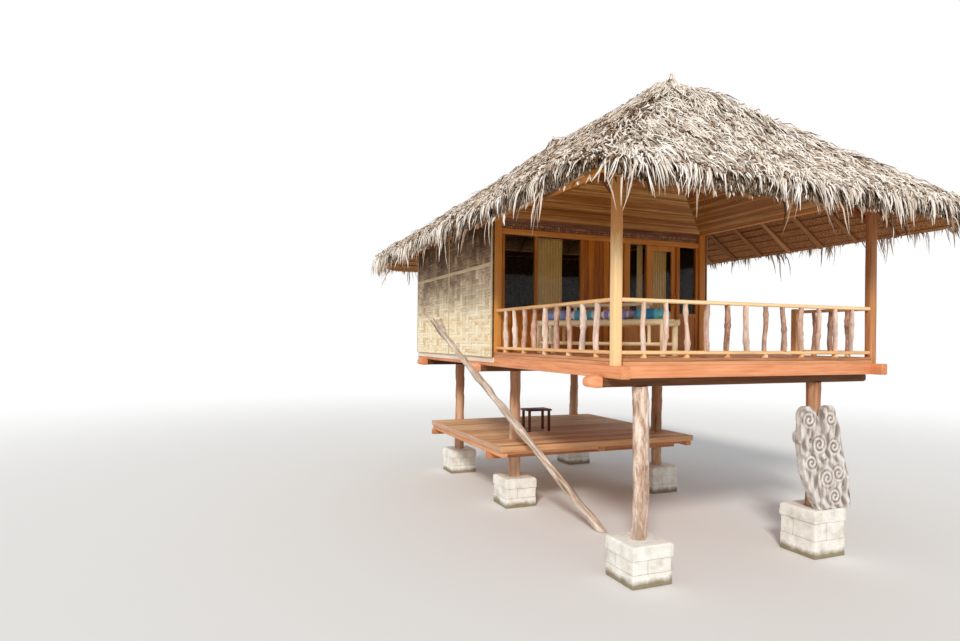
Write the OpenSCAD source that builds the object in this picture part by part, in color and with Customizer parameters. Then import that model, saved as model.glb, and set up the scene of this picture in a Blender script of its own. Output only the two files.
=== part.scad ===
// Stilt house with a thatched hip roof, a railed veranda in front and one room behind.
// X runs along the veranda front, Y to the back, Z up from the waterline.
// The origin is the middle of the plan at the waterline.

/* [Plan] */
// Distance between the centres of the left and right corner posts
bay_w = 4400; // [4200:50:4700]
// Depth of the veranda, from its front posts to the front wall
veranda_d = 3600; // [3400:50:3900]
// Depth of the room, from the front wall to the back wall
room_d = 4300; // [4100:50:4600]
// Height of the deck above the waterline
deck_z = 2790; // [2600:10:3000]
// Height from the deck to the underside of the plates
wall_h = 2300; // [2250:10:2450]

/* [Footings and stilts] */
// Side of a footing block
footing_w = 580; // [500:10:680]
// Height of a footing block
footing_h = 510; // [400:10:600]
// Height of the front right footing block
tall_footing_h = 660; // [500:10:750]
// Height of the cap course of a footing block
footing_cap_h = 170; // [100:10:250]
// How far the cap course stands out
footing_lip = 14; // [8:1:25]
// How far the middle course stands out
footing_band = 6; // [3:1:7]
// Chamfer on the top edge of the cap course
footing_chamfer = 25; // [10:1:40]
// Diameter of a stilt log
stilt_d = 210; // [180:5:240]
// Sideways bow of the front left stilt
stilt_bow = 30; // [0:5:50]
// Front left stilt, inwards from the left post line
front_left_in = 500; // [400:10:600]
// Front right stilt, inwards from the right post line
front_right_in = 900; // [700:10:1000]
// Middle stilts, inwards from the post lines
mid_in = 620; // [560:10:800]
// Back stilts, inwards from the post lines
back_in = 700; // [560:10:900]
// Front girder, behind the front post line
girder_front_in = 200; // [180:10:300]
// Middle girder, behind the front wall line
girder_mid_in = 520; // [400:10:700]
// Back girder, ahead of the back post line
girder_back_in = 650; // [500:10:800]

/* [Floor frame] */
// Width of a girder
girder_w = 150; // [110:5:190]
// Height of a girder
girder_h = 115; // [100:5:160]
// How far the girders run out on the left
girder_out_left = 250; // [180:10:320]
// How far the girders run out on the right
girder_out_right = 100; // [80:10:200]
// Width of a floor beam
beam_w = 120; // [100:5:140]
// Height of a floor beam
beam_h = 155; // [120:5:180]
// How far the side beams run out ahead of the front beam
beam_out = 160; // [60:10:220]
// Width of a joist
joist_w = 80; // [60:5:110]
// Height of a joist
joist_h = 50; // [40:5:80]
// Distance between joists
joist_step = 520; // [400:10:700]
// Thickness of the rim board that closes the joist ends
rim_t = 30; // [20:1:40]
// Thickness of the deck and floor boards
deck_t = 40; // [30:1:50]

/* [Posts and plates] */
// Side of a corner post
post_w = 140; // [120:5:160]
// Width of a plate
plate_w = 120; // [100:5:140]
// Height of a side plate
plate_h = 120; // [90:5:150]
// How far the side plates run out past the corner posts' centres
plate_out = 110; // [60:5:130]
// Run of a brace at the top of a veranda post
brace_run = 260; // [180:10:400]
// Depth of a brace
brace_h = 90; // [60:5:120]
// Thickness of a brace
brace_t = 60; // [40:5:80]

/* [Railing] */
// Height of the top rail's top above the deck
rail_top = 730; // [650:10:850]
// Height of a rail
rail_h = 48; // [40:1:60]
// Width of a rail
rail_w = 70; // [60:1:90]
// Gap between the deck and the lower rail
rail_gap = 42; // [30:1:60]
// Diameter of a branch baluster
baluster_d = 70; // [50:1:80]
// Sideways wave of a branch baluster
baluster_wave = 12; // [0:1:18]
// Distance between balusters
baluster_step = 335; // [300:5:450]
// Newel of the right railing, behind the front post line
newel_in = 1310; // [1000:10:1700]
// Side of the newel
newel_w = 110; // [90:5:130]
// How far the newel stands above the top rail
newel_up = 20; // [0:5:60]

/* [Walls] */
// Thickness of a matting wall, which covers the corner posts from outside
wall_t = 30; // [20:2:50]
// Width of a batten
batten_w = 60; // [40:5:90]
// Thickness of a batten
batten_t = 12; // [8:1:20]
// Height of the horizontal batten above the floor
batten_z = 1480; // [1200:10:1700]
// Depth of a front wall frame
frame_t = 80; // [60:5:100]
// Thickness of boarding
board_t = 40; // [25:1:50]
// Height of the sill top above the deck
sill_z = 745; // [650:5:850]
// Height of the sill rail
sill_h = 70; // [50:5:90]
// Height of the glass top above the deck
head_z = 2040; // [1960:5:2080]
// Height of the head rail
head_h = 95; // [70:5:110]
// Height of the carved band over the head rail
band_h = 100; // [60:5:110]
// Side of a lozenge in the carved band
lozenge_w = 52; // [30:1:60]
// Depth of the carving
lozenge_deep = 12; // [6:1:20]
// Width of a window stile
stile_w = 70; // [50:5:90]
// Right edge of the window, from the left post line
window_x = 1720; // [1600:10:1800]
// Middle of the window mullion, from the left post line
mullion_x = 745; // [600:5:1000]
// Width of the mullion
mullion_w = 45; // [35:1:70]
// Left edge of the left side light, from the left post line
light_x = 2590; // [2400:10:2650]
// Width of the left side light's outer stile
light_stile_w = 125; // [70:5:150]
// Thickness of a pane
glass_t = 6; // [4:1:8]

/* [Door] */
// Left edge of the door opening, from the left post line
door_x = 3170; // [3100:10:3190]
// Width of the door opening
door_w = 630; // [600:5:640]
// Gap round the door leaf
door_gap = 5; // [5:1:8]
// Gap under the door leaf
door_floor_gap = 8; // [6:1:15]
// Thickness of the door leaf
leaf_t = 40; // [30:1:45]
// Width of a leaf stile
leaf_stile_w = 92; // [70:1:110]
// Radius of a hinge knuckle
knuckle_r = 11; // [9:0.5:14]
// Radius of a hinge pin
pin_r = 4; // [3:0.5:5]
// Length of one hinge knuckle
knuckle_h = 45; // [35:1:60]
// Thickness of a hinge strap
strap_t = 3; // [2:0.5:4]
// Length of a hinge strap
strap_w = 40; // [30:1:50]
// Distance of a hinge from the end of the leaf
hinge_in = 220; // [150:10:300]
// Diameter of the door pull
pull_d = 26; // [20:1:32]
// Length of the door pull
pull_l = 220; // [160:10:300]
// How far the door pull stands out
pull_out = 45; // [35:1:60]
// Height of the door pull's foot above the sill
pull_z = 150; // [50:10:300]

/* [Roof] */
// Overhang of the thatch beyond the posts' centres
overhang = 980; // [900:10:1100]
// Run of the front hip in plan
hip_front = 2800; // [2600:10:3000]
// Run of the back hip in plan
hip_back = 3240; // [3000:10:3400]
// Rise of the underside from the eave to the ridge
roof_rise = 2240; // [2150:10:2350]
// Diameter of a rafter
rafter_d = 80; // [70:1:90]
// Distance between rafters
rafter_step = 690; // [600:10:800]
// Diameter of the ridge pole
ridge_pole_d = 120; // [100:5:140]
// Height of the thatch edge at the eave
thatch_lip = 240; // [160:10:280]
// Height of the thatch over the ridge line of the underside
thatch_top = 120; // [90:5:160]
// Radius of the thatch's corners at the eave
thatch_corner_r = 620; // [400:10:700]
// How far the slopes sag between ridge and eave, as a share of their rise
thatch_sag = 0.1; // [0:0.01:0.16]
// Width of the ridge cap
cap_w = 290; // [240:10:340]
// Height of the ridge cap
cap_h = 130; // [80:5:200]
// Extra height of the ridge cap's back peak
cap_peak = 220; // [0:10:260]
// Rise of the veranda ceiling
ceiling_rise = 900; // [600:10:1000]
// Thickness of the veranda ceiling
ceiling_t = 25; // [15:1:35]

/* [Lower platform] */
// Height of the platform's top above the waterline
platform_z = 1190; // [1100:10:1300]
// Front edge of the platform, ahead of the front wall line
platform_out = 250; // [150:10:400]
// Right edge of the platform, inwards from the right post line
platform_in = 350; // [300:10:400]
// Height of a platform fascia
fascia_h = 100; // [80:5:130]
// Thickness of a platform fascia
fascia_t = 30; // [20:1:40]
// Height of a platform bearer
bearer_h = 150; // [110:5:170]
// Width of a platform bearer
bearer_w = 110; // [80:5:120]
// Gap round a stilt that passes through the platform
log_gap = 12; // [8:1:20]

/* [Loose pieces] */
// Diameter of the leaning log at its foot
lean_d = 150; // [120:5:170]
// Height of the leaning log's top
lean_top = 3360; // [3100:10:3500]
// Direction of the leaning log in plan
lean_turn = 127; // [120:1:132]
// Slope of the leaning log
lean_slope = 45.5; // [42:0.5:50]
// Height of the carved slab
slab_h = 1450; // [1300:10:1500]
// Width of the carved slab
slab_w = 1000; // [850:10:1100]
// Thickness of the carved slab
slab_t = 110; // [90:5:120]
// Depth of the slab's carving
slab_relief = 18; // [10:1:30]
// Middle of the slab, to the left of the stilt behind it
slab_aside = 30; // [0:5:60]
// How far the slab's foot stands back from the front of its footing
slab_foot_in = 20; // [5:5:40]
// Width of the low table
table_w = 520; // [400:10:600]
// Depth of the low table
table_d = 360; // [300:10:450]
// Height of the low table
table_h = 440; // [350:10:500]
// Thickness of the low table's top
table_top_t = 35; // [20:1:45]
// Side of a leg of the low table
table_leg_w = 45; // [35:1:60]
// Middle of the low table, from the left post line
table_x_in = 1470; // [1350:10:1800]
// Middle of the low table, behind the front wall line
table_y_in = 1330; // [900:10:1800]
// Corner of the bench next to the left railing, from the left post line
bench_x_in = 230; // [200:10:300]
// The same corner, from the front wall line
bench_y_in = 1010; // [950:10:1100]
// Turn of the bench from the front wall towards the railing's front corner, in degrees
bench_turn = 63; // [55:1:68]
// Length of the bench
bench_l = 2200; // [1800:10:2300]
// Depth of the bench
bench_d = 480; // [420:10:520]
// Height of the bench seat above the deck
bench_z = 520; // [460:5:560]
// Diameter of a seat rail of the bench
bench_pole_d = 92; // [88:1:100]
// Diameter of a leg of the bench
bench_leg_d = 84; // [72:1:86]
// Legs of the bench, from its ends
bench_leg_in = 60; // [50:5:90]
// Diameter of a stretcher, slat or back rail of the bench
bench_thin_d = 56; // [52:1:60]
// Diameter of a strut or upright of the bench
bench_strut_d = 48; // [40:1:50]
// Height of the bench's stretchers above the deck
stretcher_z = 165; // [130:5:220]
// Struts between stretcher and seat rail, from the ends of the bench
strut_in = 265; // [200:5:350]
// Height of the bench's back rail above the seat
back_rail_h = 260; // [200:5:320]
// Ends of the back rail, from the ends of the bench
back_rail_in = 420; // [300:10:500]
// Height of a bench cushion
cushion_h = 150; // [110:5:180]

/* [Hidden] */
$fn = 32;

// Seating gap between a round piece and what it touches
seat = 0.3;
// Gap round a post where it passes through boards
post_gap = 1;
// How far fused pieces run into each other
bite = 5;
// A length longer than any cut needs
far = 9000;

// Lines of the plan
x_left = -bay_w / 2;
x_right = bay_w / 2;
y_front = -(veranda_d + room_d) / 2;
y_wall = y_front + veranda_d;
y_back = y_wall + room_d;

// Levels of the floor frame
deck_under = deck_z - deck_t;
joist_z = deck_under - joist_h;
beam_z = joist_z - beam_h;
girder_z = beam_z - girder_h;
post_top = deck_z + wall_h;
plate_top = post_top + plate_h;
board_edge = beam_w / 2 + 10;

// Lines of the girders and stilts
girder_ys = [y_front + girder_front_in, y_wall + girder_mid_in, y_back - girder_back_in];
stilts_left = [x_left + front_left_in, x_left + mid_in, x_left + back_in];
stilts_right = [x_right - front_right_in, x_right - mid_in, x_right - back_in];

// Planes of the roof's underside
eave_x = x_right + overhang;
eave_front = y_front - overhang;
eave_back = y_back + overhang;
ridge_front = eave_front + hip_front;
ridge_back = eave_back - hip_back;
slope_side = atan(roof_rise / eave_x);
slope_front = atan(roof_rise / hip_front);
slope_back = atan(roof_rise / hip_back);
plate_edge_in = overhang - plate_w / 2;
function rafter_drop(slope) = (rafter_d + 2 * seat) / cos(slope);
eave_z = plate_top + rafter_drop(slope_side) - plate_edge_in * tan(slope_side);
ridge_z = eave_z + roof_rise;
front_plate_top = eave_z + plate_edge_in * tan(slope_front) - rafter_drop(slope_front);
back_plate_top = eave_z + plate_edge_in * tan(slope_back) - rafter_drop(slope_back);

// A log swept along a path, with one radius a point and flat ends across u and v
module log(path, radii, sides = 16, u = [1, 0, 0], v = [0, 1, 0]) {
    rings = len(path);
    points = [for (i = [0 : rings - 1]) for (k = [0 : sides - 1])
        path[i] + radii[i] * (cos(360 * k / sides) * u + sin(360 * k / sides) * v)];
    walls = [for (i = [0 : rings - 2]) for (k = [0 : sides - 1]) let (n = (k + 1) % sides)
        each [[i * sides + k, (i + 1) * sides + k, (i + 1) * sides + n],
            [i * sides + k, (i + 1) * sides + n, i * sides + n]]];
    bottom = [for (k = [0 : sides - 1]) k];
    top = [for (k = [sides - 1 : -1 : 0]) (rings - 1) * sides + k];
    polyhedron(concat(points), concat(walls, [bottom, top]));
}

// A box between two corners
module box(low, high) {
    translate(low) cube(high - low);
}

// A straight pole between two points
module pole(from, to, d) {
    way = to - from;
    length = norm(way);
    translate(from)
        rotate([0, acos(way[2] / length), atan2(way[1], way[0])])
            cylinder(h = length, d = d);
}

// Concrete block of a body, a middle course and a chamfered cap course
module footing(x, y, height) {
    half = footing_w / 2;
    band_half = half + footing_band;
    cap_half = half + footing_lip;
    cap_z = height - footing_cap_h;
    translate([x, y, 0]) {
        box([-half, -half, 0], [half, half, cap_z]);
        box([-band_half, -band_half, 2 * footing_band], [band_half, band_half, cap_z / 2]);
        box([-cap_half, -cap_half, cap_z], [cap_half, cap_half, height - footing_chamfer]);
        translate([0, 0, height - footing_chamfer])
            linear_extrude(footing_chamfer, scale = 1 - footing_chamfer / cap_half)
                square(2 * cap_half, center = true);
    }
}

module footings() {
    color([0.88, 0.87, 0.83]) {
        for (i = [0 : 2]) footing(stilts_left[i], girder_ys[i], footing_h);
        footing(stilts_right[0], girder_ys[0], tall_footing_h);
        for (i = [1 : 2]) footing(stilts_right[i], girder_ys[i], footing_h);
    }
}

// Upright stilt log from a footing to a girder
module stilt(x, y, foot, bow) {
    steps = 8;
    path = [for (i = [0 : steps]) let (t = i / steps)
        [x + bow * sin(180 * t), y, foot + (girder_z - foot) * t]];
    log(path, [for (i = [0 : steps]) stilt_d / 2]);
}

module stilts() {
    color([0.78, 0.66, 0.56]) {
        stilt(stilts_left[0], girder_ys[0], footing_h, stilt_bow);
        stilt(stilts_right[0], girder_ys[0], tall_footing_h, 0);
        for (i = [1 : 2]) {
            stilt(stilts_left[i], girder_ys[i], footing_h, 0);
            stilt(stilts_right[i], girder_ys[i], footing_h, 0);
        }
    }
}

module girders() {
    color([0.8, 0.5, 0.34])
        for (y = girder_ys)
            box([x_left - girder_out_left, y - girder_w / 2, girder_z],
                [x_right + girder_out_right, y + girder_w / 2, beam_z]);
}

module side_beams() {
    color([0.84, 0.51, 0.34])
        for (x = [x_left, x_right])
            box([x - beam_w / 2, y_front - beam_w / 2 - beam_out, beam_z],
                [x + beam_w / 2, y_back + beam_w / 2 + beam_out / 2, joist_z]);
}

// Front, wall and back beams between the side beams, and two beams down the middle
module floor_beams() {
    half = beam_w / 2;
    ys = [y_front, y_wall, y_back];
    color([0.84, 0.51, 0.34]) {
        for (y = ys)
            box([x_left + half, y - half, beam_z], [x_right - half, y + half, joist_z]);
        for (i = [0, 1])
            box([-half, ys[i] + half + seat, beam_z], [half, ys[i + 1] - half - seat, joist_z]);
    }
}

// Joists across the house, closed by rim boards
module joists() {
    half = beam_w / 2;
    inner = x_right + half - rim_t - seat;
    first = y_front - half + rim_t + joist_w / 2 + joist_step / 2;
    last = y_back - joist_step / 2;
    color([0.8, 0.52, 0.36]) difference() {
        union() {
            for (y = [first : joist_step : last])
                box([-inner, y - joist_w / 2, joist_z], [inner, y + joist_w / 2, deck_under]);
            for (side = [-1, 1])
                translate([side * (x_right + half - rim_t / 2), 0, 0])
                    box([-rim_t / 2, y_front - half, joist_z], [rim_t / 2, y_back + half, deck_under]);
            for (y = [y_front - half + rim_t / 2, y_back + half - rim_t / 2])
                box([x_left - half, y - rim_t / 2, joist_z], [x_right + half, y + rim_t / 2, deck_under]);
        }
        post_holes();
    }
}

// The space that the corner posts take through the joists and boards
module post_holes() {
    half = post_w / 2 + post_gap;
    for (x = [x_left, x_right]) for (y = [y_front, y_wall, y_back])
        box([x - half, y - half, joist_z - 1], [x + half, y + half, deck_z + 1]);
}

module veranda_deck() {
    color([0.8, 0.56, 0.4]) difference() {
        box([x_left - board_edge, y_front - board_edge, deck_under], [x_right + board_edge, y_wall, deck_z]);
        post_holes();
    }
}

module room_floor() {
    color([0.55, 0.36, 0.22]) difference() {
        box([x_left - board_edge, y_wall, deck_under], [x_right + board_edge, y_back + board_edge, deck_z]);
        post_holes();
    }
}

// Square post from the side beam to the plate
module post(x, y) {
    box([x - post_w / 2, y - post_w / 2, joist_z], [x + post_w / 2, y + post_w / 2, post_top]);
}

// Brace that rises at 45 degrees from a post's face to a level above, along +X
module brace(top) {
    face = post_w / 2 - bite;
    translate([0, brace_t / 2, top]) rotate([90, 0, 0])
        linear_extrude(brace_t)
            polygon([[face, -brace_run - brace_h], [face + brace_run + brace_h, 0],
                [face + brace_run, 0], [face, -brace_run]]);
}

module veranda_posts() {
    color([0.8, 0.58, 0.36]) {
        post(x_left, y_front);
        translate([x_left, y_front, 0]) brace(plate_top);
        translate([x_left, y_front, 0]) rotate([0, 0, 90]) brace(post_top);
        post(x_right, y_front);
        translate([x_right, y_front, 0]) rotate([0, 0, 180]) brace(plate_top);
        translate([x_right, y_front, 0]) rotate([0, 0, 90]) brace(post_top);
    }
}

module corner_posts() {
    color([0.7, 0.42, 0.2])
        for (x = [x_left, x_right]) for (y = [y_wall, y_back]) post(x, y);
}

module side_plates() {
    color([0.6, 0.42, 0.28])
        for (x = [x_left, x_right])
            box([x - plate_w / 2, y_front - plate_out, post_top],
                [x + plate_w / 2, y_back + plate_out, plate_top]);
}

// The front plate lies on the side plates, and the wall and back plates fit between them
module cross_plates() {
    half = plate_w / 2;
    color([0.6, 0.42, 0.28]) {
        box([x_left - half, y_front - half, plate_top], [x_right + half, y_front + half, front_plate_top]);
        box([x_left + half, y_wall - half, post_top], [x_right - half, y_wall + half, plate_top]);
        box([x_left + half, y_back - half, post_top], [x_right - half, y_back + half, back_plate_top]);
    }
}

// Matting wall on the outside of two corner posts, down over the edge of the floor
module side_wall(side) {
    translate([side * (x_right + post_w / 2 + wall_t / 2), 0, 0])
        box([-wall_t / 2, y_wall - post_w / 2, joist_z], [wall_t / 2, y_back + post_w / 2, post_top]);
}

module left_wall() {
    color([0.86, 0.77, 0.64]) side_wall(-1);
}

module right_wall() {
    color([0.86, 0.77, 0.64]) side_wall(1);
}

module back_wall() {
    inner = y_back + post_w / 2;
    half = x_right + post_w / 2 + wall_t;
    color([0.86, 0.77, 0.64])
        box([-half, inner, joist_z], [half, inner + wall_t, post_top]);
}

// Battens of one matting wall, drawn from the middle of its foot and facing -Y
module batten_set(length) {
    half = length / 2;
    rail_z = deck_z - joist_z + batten_z;
    box([-half, -batten_t, rail_z], [half, 0, rail_z + batten_w]);
    for (x = [-half, -batten_w / 2, half - batten_w])
        box([x, -batten_t, 0], [x + batten_w, 0, post_top - joist_z]);
}

module wall_battens() {
    outer = post_w / 2 + wall_t;
    middle = (y_wall + y_back) / 2;
    color([0.9, 0.82, 0.7]) {
        translate([x_left - outer, middle, joist_z]) rotate([0, 0, -90]) batten_set(room_d + post_w);
        translate([x_right + outer, middle, joist_z]) rotate([0, 0, 90]) batten_set(room_d + post_w);
        translate([0, y_back + outer, joist_z]) rotate([0, 0, 180]) batten_set(bay_w + 2 * outer);
    }
}

// A box of the front wall, by distances from the left post line and heights over the deck
module front_box(x0, z0, x1, z1, thick) {
    box([x_left + x0, y_wall - thick / 2, deck_z + z0], [x_left + x1, y_wall + thick / 2, deck_z + z1]);
}

post_x = post_w / 2;
glass_left = post_x + stile_w;
glass_right = window_x - stile_w;
light_end = bay_w - post_x;
jamb_left = door_x - stile_w;
jamb_right = door_x + door_w + stile_w;

module front_boarding() {
    color([0.62, 0.36, 0.14]) {
        front_box(glass_left, 0, glass_right, sill_z - sill_h, board_t);
        front_box(window_x, 0, light_x, head_z, board_t);
    }
}

module window_frame() {
    color([0.7, 0.4, 0.13]) difference() {
        front_box(post_x, 0, window_x, head_z, frame_t);
        front_box(glass_left, -1, glass_right, sill_z - sill_h, frame_t + 2);
        front_box(glass_left, sill_z, mullion_x - mullion_w / 2, head_z + 1, frame_t + 2);
        front_box(mullion_x + mullion_w / 2, sill_z, glass_right, head_z + 1, frame_t + 2);
    }
}

module side_lights() {
    color([0.7, 0.4, 0.13]) {
        difference() {
            front_box(light_x, 0, door_x, head_z, frame_t);
            front_box(light_x + light_stile_w, sill_z, jamb_left, head_z + 1, frame_t + 2);
            light_panel(light_x + light_stile_w, jamb_left);
        }
        difference() {
            front_box(door_x + door_w, 0, light_end, head_z, frame_t);
            front_box(jamb_right, sill_z, light_end - stile_w, head_z + 1, frame_t + 2);
            light_panel(jamb_right, light_end - stile_w);
        }
    }
}

// Shallow sunk panels on both faces below a side light
module light_panel(x0, x1) {
    deep = (frame_t - board_t) / 2;
    for (side = [-1, 1])
        translate([0, side * (board_t / 2 + deep), 0])
            front_box(x0, sill_h, x1, sill_z - sill_h, 2 * deep);
}

// Head rail, carved band and top rail over the windows and the door
module front_head() {
    rail_end = bay_w - post_x;
    band_z = head_z + head_h;
    half = frame_t / 2;
    count = floor((rail_end - post_x) / (2 * lozenge_w));
    step = (rail_end - post_x) / count;
    color([0.45, 0.26, 0.14]) difference() {
        union() {
            front_box(post_x, head_z, rail_end, band_z, frame_t);
            front_box(post_x, band_z, rail_end, band_z + band_h, board_t);
            front_box(post_x, band_z + band_h, rail_end, wall_h, frame_t);
        }
        for (i = [0 : count - 1])
            translate([x_left + post_x + (i + 0.5) * step, y_wall - board_t / 2 + lozenge_deep,
                deck_z + band_z + band_h / 2])
                rotate([90, 45, 0]) linear_extrude(half) square(lozenge_w, center = true);
    }
}

module front_glass() {
    color([0.2, 0.25, 0.26, 0.5]) {
        front_box(glass_left, sill_z, mullion_x - mullion_w / 2, head_z, glass_t);
        front_box(mullion_x + mullion_w / 2, sill_z, glass_right, head_z, glass_t);
        front_box(light_x + light_stile_w, sill_z, jamb_left, head_z, glass_t);
        front_box(jamb_right, sill_z, light_end - stile_w, head_z, glass_t);
    }
}

// The door leaf lies flush with the inner face of the frame, and its axis just inside that
leaf_y = y_wall + frame_t / 2 - leaf_t;
leaf_x0 = x_left + door_x + door_gap;
leaf_x1 = x_left + door_x + door_w - door_gap;
leaf_z0 = deck_z + door_floor_gap;
leaf_z1 = deck_z + head_z - door_gap;
axis_x = leaf_x0 - door_gap / 2;
axis_y = leaf_y + leaf_t + knuckle_r + 1;
hinge_zs = [leaf_z0 + hinge_in, leaf_z1 - hinge_in];
pin_gap = 0.1;
knuckle_gap = 0.5;
lock_rail_h = 110;
leaf_glass_z = deck_z + sill_z;
leaf_glass_top = leaf_z1 - leaf_stile_w;

module door_leaf() {
    deep = leaf_t / 4;
    color([0.72, 0.41, 0.13]) {
        difference() {
            box([leaf_x0, leaf_y, leaf_z0], [leaf_x1, leaf_y + leaf_t, leaf_z1]);
            box([leaf_x0 + leaf_stile_w, leaf_y - 1, leaf_glass_z],
                [leaf_x1 - leaf_stile_w, leaf_y + leaf_t + 1, leaf_glass_top]);
            for (y = [leaf_y - deep, leaf_y + leaf_t - deep])
                box([leaf_x0 + leaf_stile_w, y, leaf_z0 + lock_rail_h],
                    [leaf_x1 - leaf_stile_w, y + 2 * deep, leaf_glass_z - lock_rail_h]);
        }
        door_pull();
    }
    color([0.3, 0.28, 0.26]) for (z = hinge_zs) leaf_knuckle(z + knuckle_h + knuckle_gap);
}

// Upright wooden pull on the outer face of the leaf's free stile
module door_pull() {
    x = leaf_x1 - leaf_stile_w / 2;
    z = deck_z + sill_z + pull_z;
    arm_d = 0.7 * pull_d;
    translate([x, leaf_y - pull_out, z]) cylinder(h = pull_l, d = pull_d);
    for (rise = [pull_d, pull_l - pull_d])
        translate([x, leaf_y + bite, z + rise]) rotate([90, 0, 0]) cylinder(h = pull_out + bite, d = arm_d);
}

// Upper knuckle of a hinge, bored for the pin, with its strap on the leaf
module leaf_knuckle(z) {
    difference() {
        union() {
            translate([axis_x, axis_y, z]) cylinder(h = knuckle_h, r = knuckle_r);
            box([axis_x, leaf_y + leaf_t - strap_t, z],
                [leaf_x0 + strap_w, leaf_y + leaf_t + strap_t, z + knuckle_h]);
        }
        translate([axis_x, axis_y, z - 1]) cylinder(h = knuckle_h + 2, r = pin_r + pin_gap);
        box([axis_x - 1, leaf_y + leaf_t - strap_t - 1, z - 1],
            [leaf_x0, leaf_y + leaf_t, z + knuckle_h + 1]);
    }
}

module door_glass() {
    middle = leaf_y + leaf_t / 2;
    color([0.2, 0.25, 0.26, 0.5])
        box([leaf_x0 + leaf_stile_w, middle - glass_t / 2, leaf_glass_z],
            [leaf_x1 - leaf_stile_w, middle + glass_t / 2, leaf_glass_top]);
}

// Lower knuckles with their pins, strapped to the inner face of the jamb
module door_hinges() {
    face = y_wall + frame_t / 2;
    color([0.3, 0.28, 0.26])
        for (z = hinge_zs) {
            translate([axis_x, axis_y, z]) cylinder(h = knuckle_h, r = knuckle_r);
            translate([axis_x, axis_y, z]) cylinder(h = 2 * knuckle_h + knuckle_gap, r = pin_r);
            box([axis_x - door_gap - strap_w, face, z], [axis_x, face + strap_t, z + knuckle_h]);
        }
}

// Curtains behind the glass, hung under their rails
curtain_t = 40;
curtain_gap = 12;
rail_t = 20;
rail_deep = curtain_t + 2 * curtain_gap;
curtain_top = head_z - 10;
window_curtain = [mullion_x, 1325];
light_curtain = [2950, door_x - 90];
leaf_curtain_in = 20;
leaf_curtain_t = 30;

module hung_cloth(x0, x1) {
    y = y_wall + frame_t / 2 + curtain_gap;
    box([x_left + x0, y, deck_z + sill_z - 40], [x_left + x1, y + curtain_t, deck_z + curtain_top]);
}

module fixed_curtains() {
    color([0.72, 0.52, 0.22]) {
        hung_cloth(window_curtain[0], window_curtain[1]);
        hung_cloth(light_curtain[0], light_curtain[1]);
    }
}

module curtain_rails() {
    y = y_wall + frame_t / 2;
    z = deck_z + curtain_top;
    color([0.5, 0.3, 0.15]) {
        box([x_left + glass_left, y, z], [x_left + window_x, y + rail_deep, z + rail_t]);
        box([x_left + light_x, y, z], [x_left + light_curtain[1], y + rail_deep, z + rail_t]);
    }
}

// Curtain that is fixed to the leaf and swings with it
module door_curtain() {
    y = leaf_y + leaf_t + seat;
    color([0.72, 0.52, 0.22])
        box([leaf_x0 + leaf_stile_w - leaf_curtain_in, y, leaf_glass_z - leaf_curtain_in],
            [leaf_x0 + 0.72 * (leaf_x1 - leaf_x0), y + leaf_curtain_t, leaf_glass_top + leaf_curtain_in]);
}

// Branch baluster between the rails of a railing at x along it, each bent its own way
module baluster(x, number) {
    low = rail_gap + rail_h - bite;
    high = rail_top - rail_h + bite;
    steps = 5;
    path = [for (i = [0 : steps]) let (t = i / steps)
        [x + baluster_wave * sin(360 * t + 137 * number),
            baluster_wave / 2 * sin(250 * t + 71 * number), low + (high - low) * t]];
    radii = [for (i = [0 : steps]) baluster_d / 2 * (1 - 0.12 * (1 + sin(151 * (i + number))) / 2)];
    log(path, radii, 8);
}

// Railing of a length along +X at deck level: two rails, stub blocks and branch balusters
module railing(length, seed) {
    count = max(1, round(length / baluster_step) - 1);
    step = length / (count + 1);
    box([0, -rail_w / 2, rail_top - rail_h], [length, rail_w / 2, rail_top]);
    box([0, -rail_w / 2, rail_gap], [length, rail_w / 2, rail_gap + rail_h]);
    for (i = [1 : count]) baluster(i * step, i + seed);
    for (i = [1 : 2 : count])
        box([i * step - rail_h / 2, -rail_w / 2, 0], [i * step + rail_h / 2, rail_w / 2, rail_gap + bite]);
}

module railing_left() {
    color([0.85, 0.66, 0.48])
        translate([x_left, y_front + post_w / 2, deck_z]) rotate([0, 0, 90])
            railing(veranda_d - post_w, 20);
}

module railing_front() {
    color([0.85, 0.66, 0.48])
        translate([x_left + post_w / 2, y_front, deck_z]) railing(bay_w - post_w, 0);
}

// Short railing that ends at the newel beside the way in
module railing_right() {
    length = newel_in - post_w / 2 - newel_w / 2;
    color([0.85, 0.66, 0.48])
        translate([x_right, y_front + post_w / 2, deck_z]) rotate([0, 0, 90]) {
            railing(length + bite, 40);
            box([length, -newel_w / 2, 0], [length + newel_w, newel_w / 2, rail_top + newel_up]);
        }
}

// Flat triangle of the hipped ceiling from a base line up to the peak
module ceiling_panel(a, b, peak) {
    up = [0, 0, ceiling_t];
    middle = (a + b) / 2;
    gap = seat;
    function inset(p, toward) = p + gap * (toward - p) / norm(toward - p);
    base_a = inset(a, b);
    base_b = inset(b, a);
    top = inset(peak, middle);
    polyhedron([base_a, base_b, top, base_a + up, base_b + up, top + up],
        [[0, 1, 2], [5, 4, 3], [0, 3, 4], [0, 4, 1], [1, 4, 5], [1, 5, 2], [2, 5, 3], [2, 3, 0]]);
}

module veranda_ceiling() {
    x = x_right - plate_w / 2 - seat;
    y0 = y_front + plate_w / 2 + seat;
    y1 = y_wall - plate_w / 2 - seat;
    z = post_top + ceiling_t;
    corners = [[-x, y0, z], [x, y0, z], [x, y1, z], [-x, y1, z]];
    peak = [0, (y0 + y1) / 2, z + ceiling_rise];
    color([0.62, 0.44, 0.22])
        for (i = [0 : 3]) ceiling_panel(corners[i], corners[(i + 1) % 4], peak);
}

// Ridge pole that touches both long slopes from below
ridge_pole_z = ridge_z - (ridge_pole_d / 2 + seat) / cos(slope_side);

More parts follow.
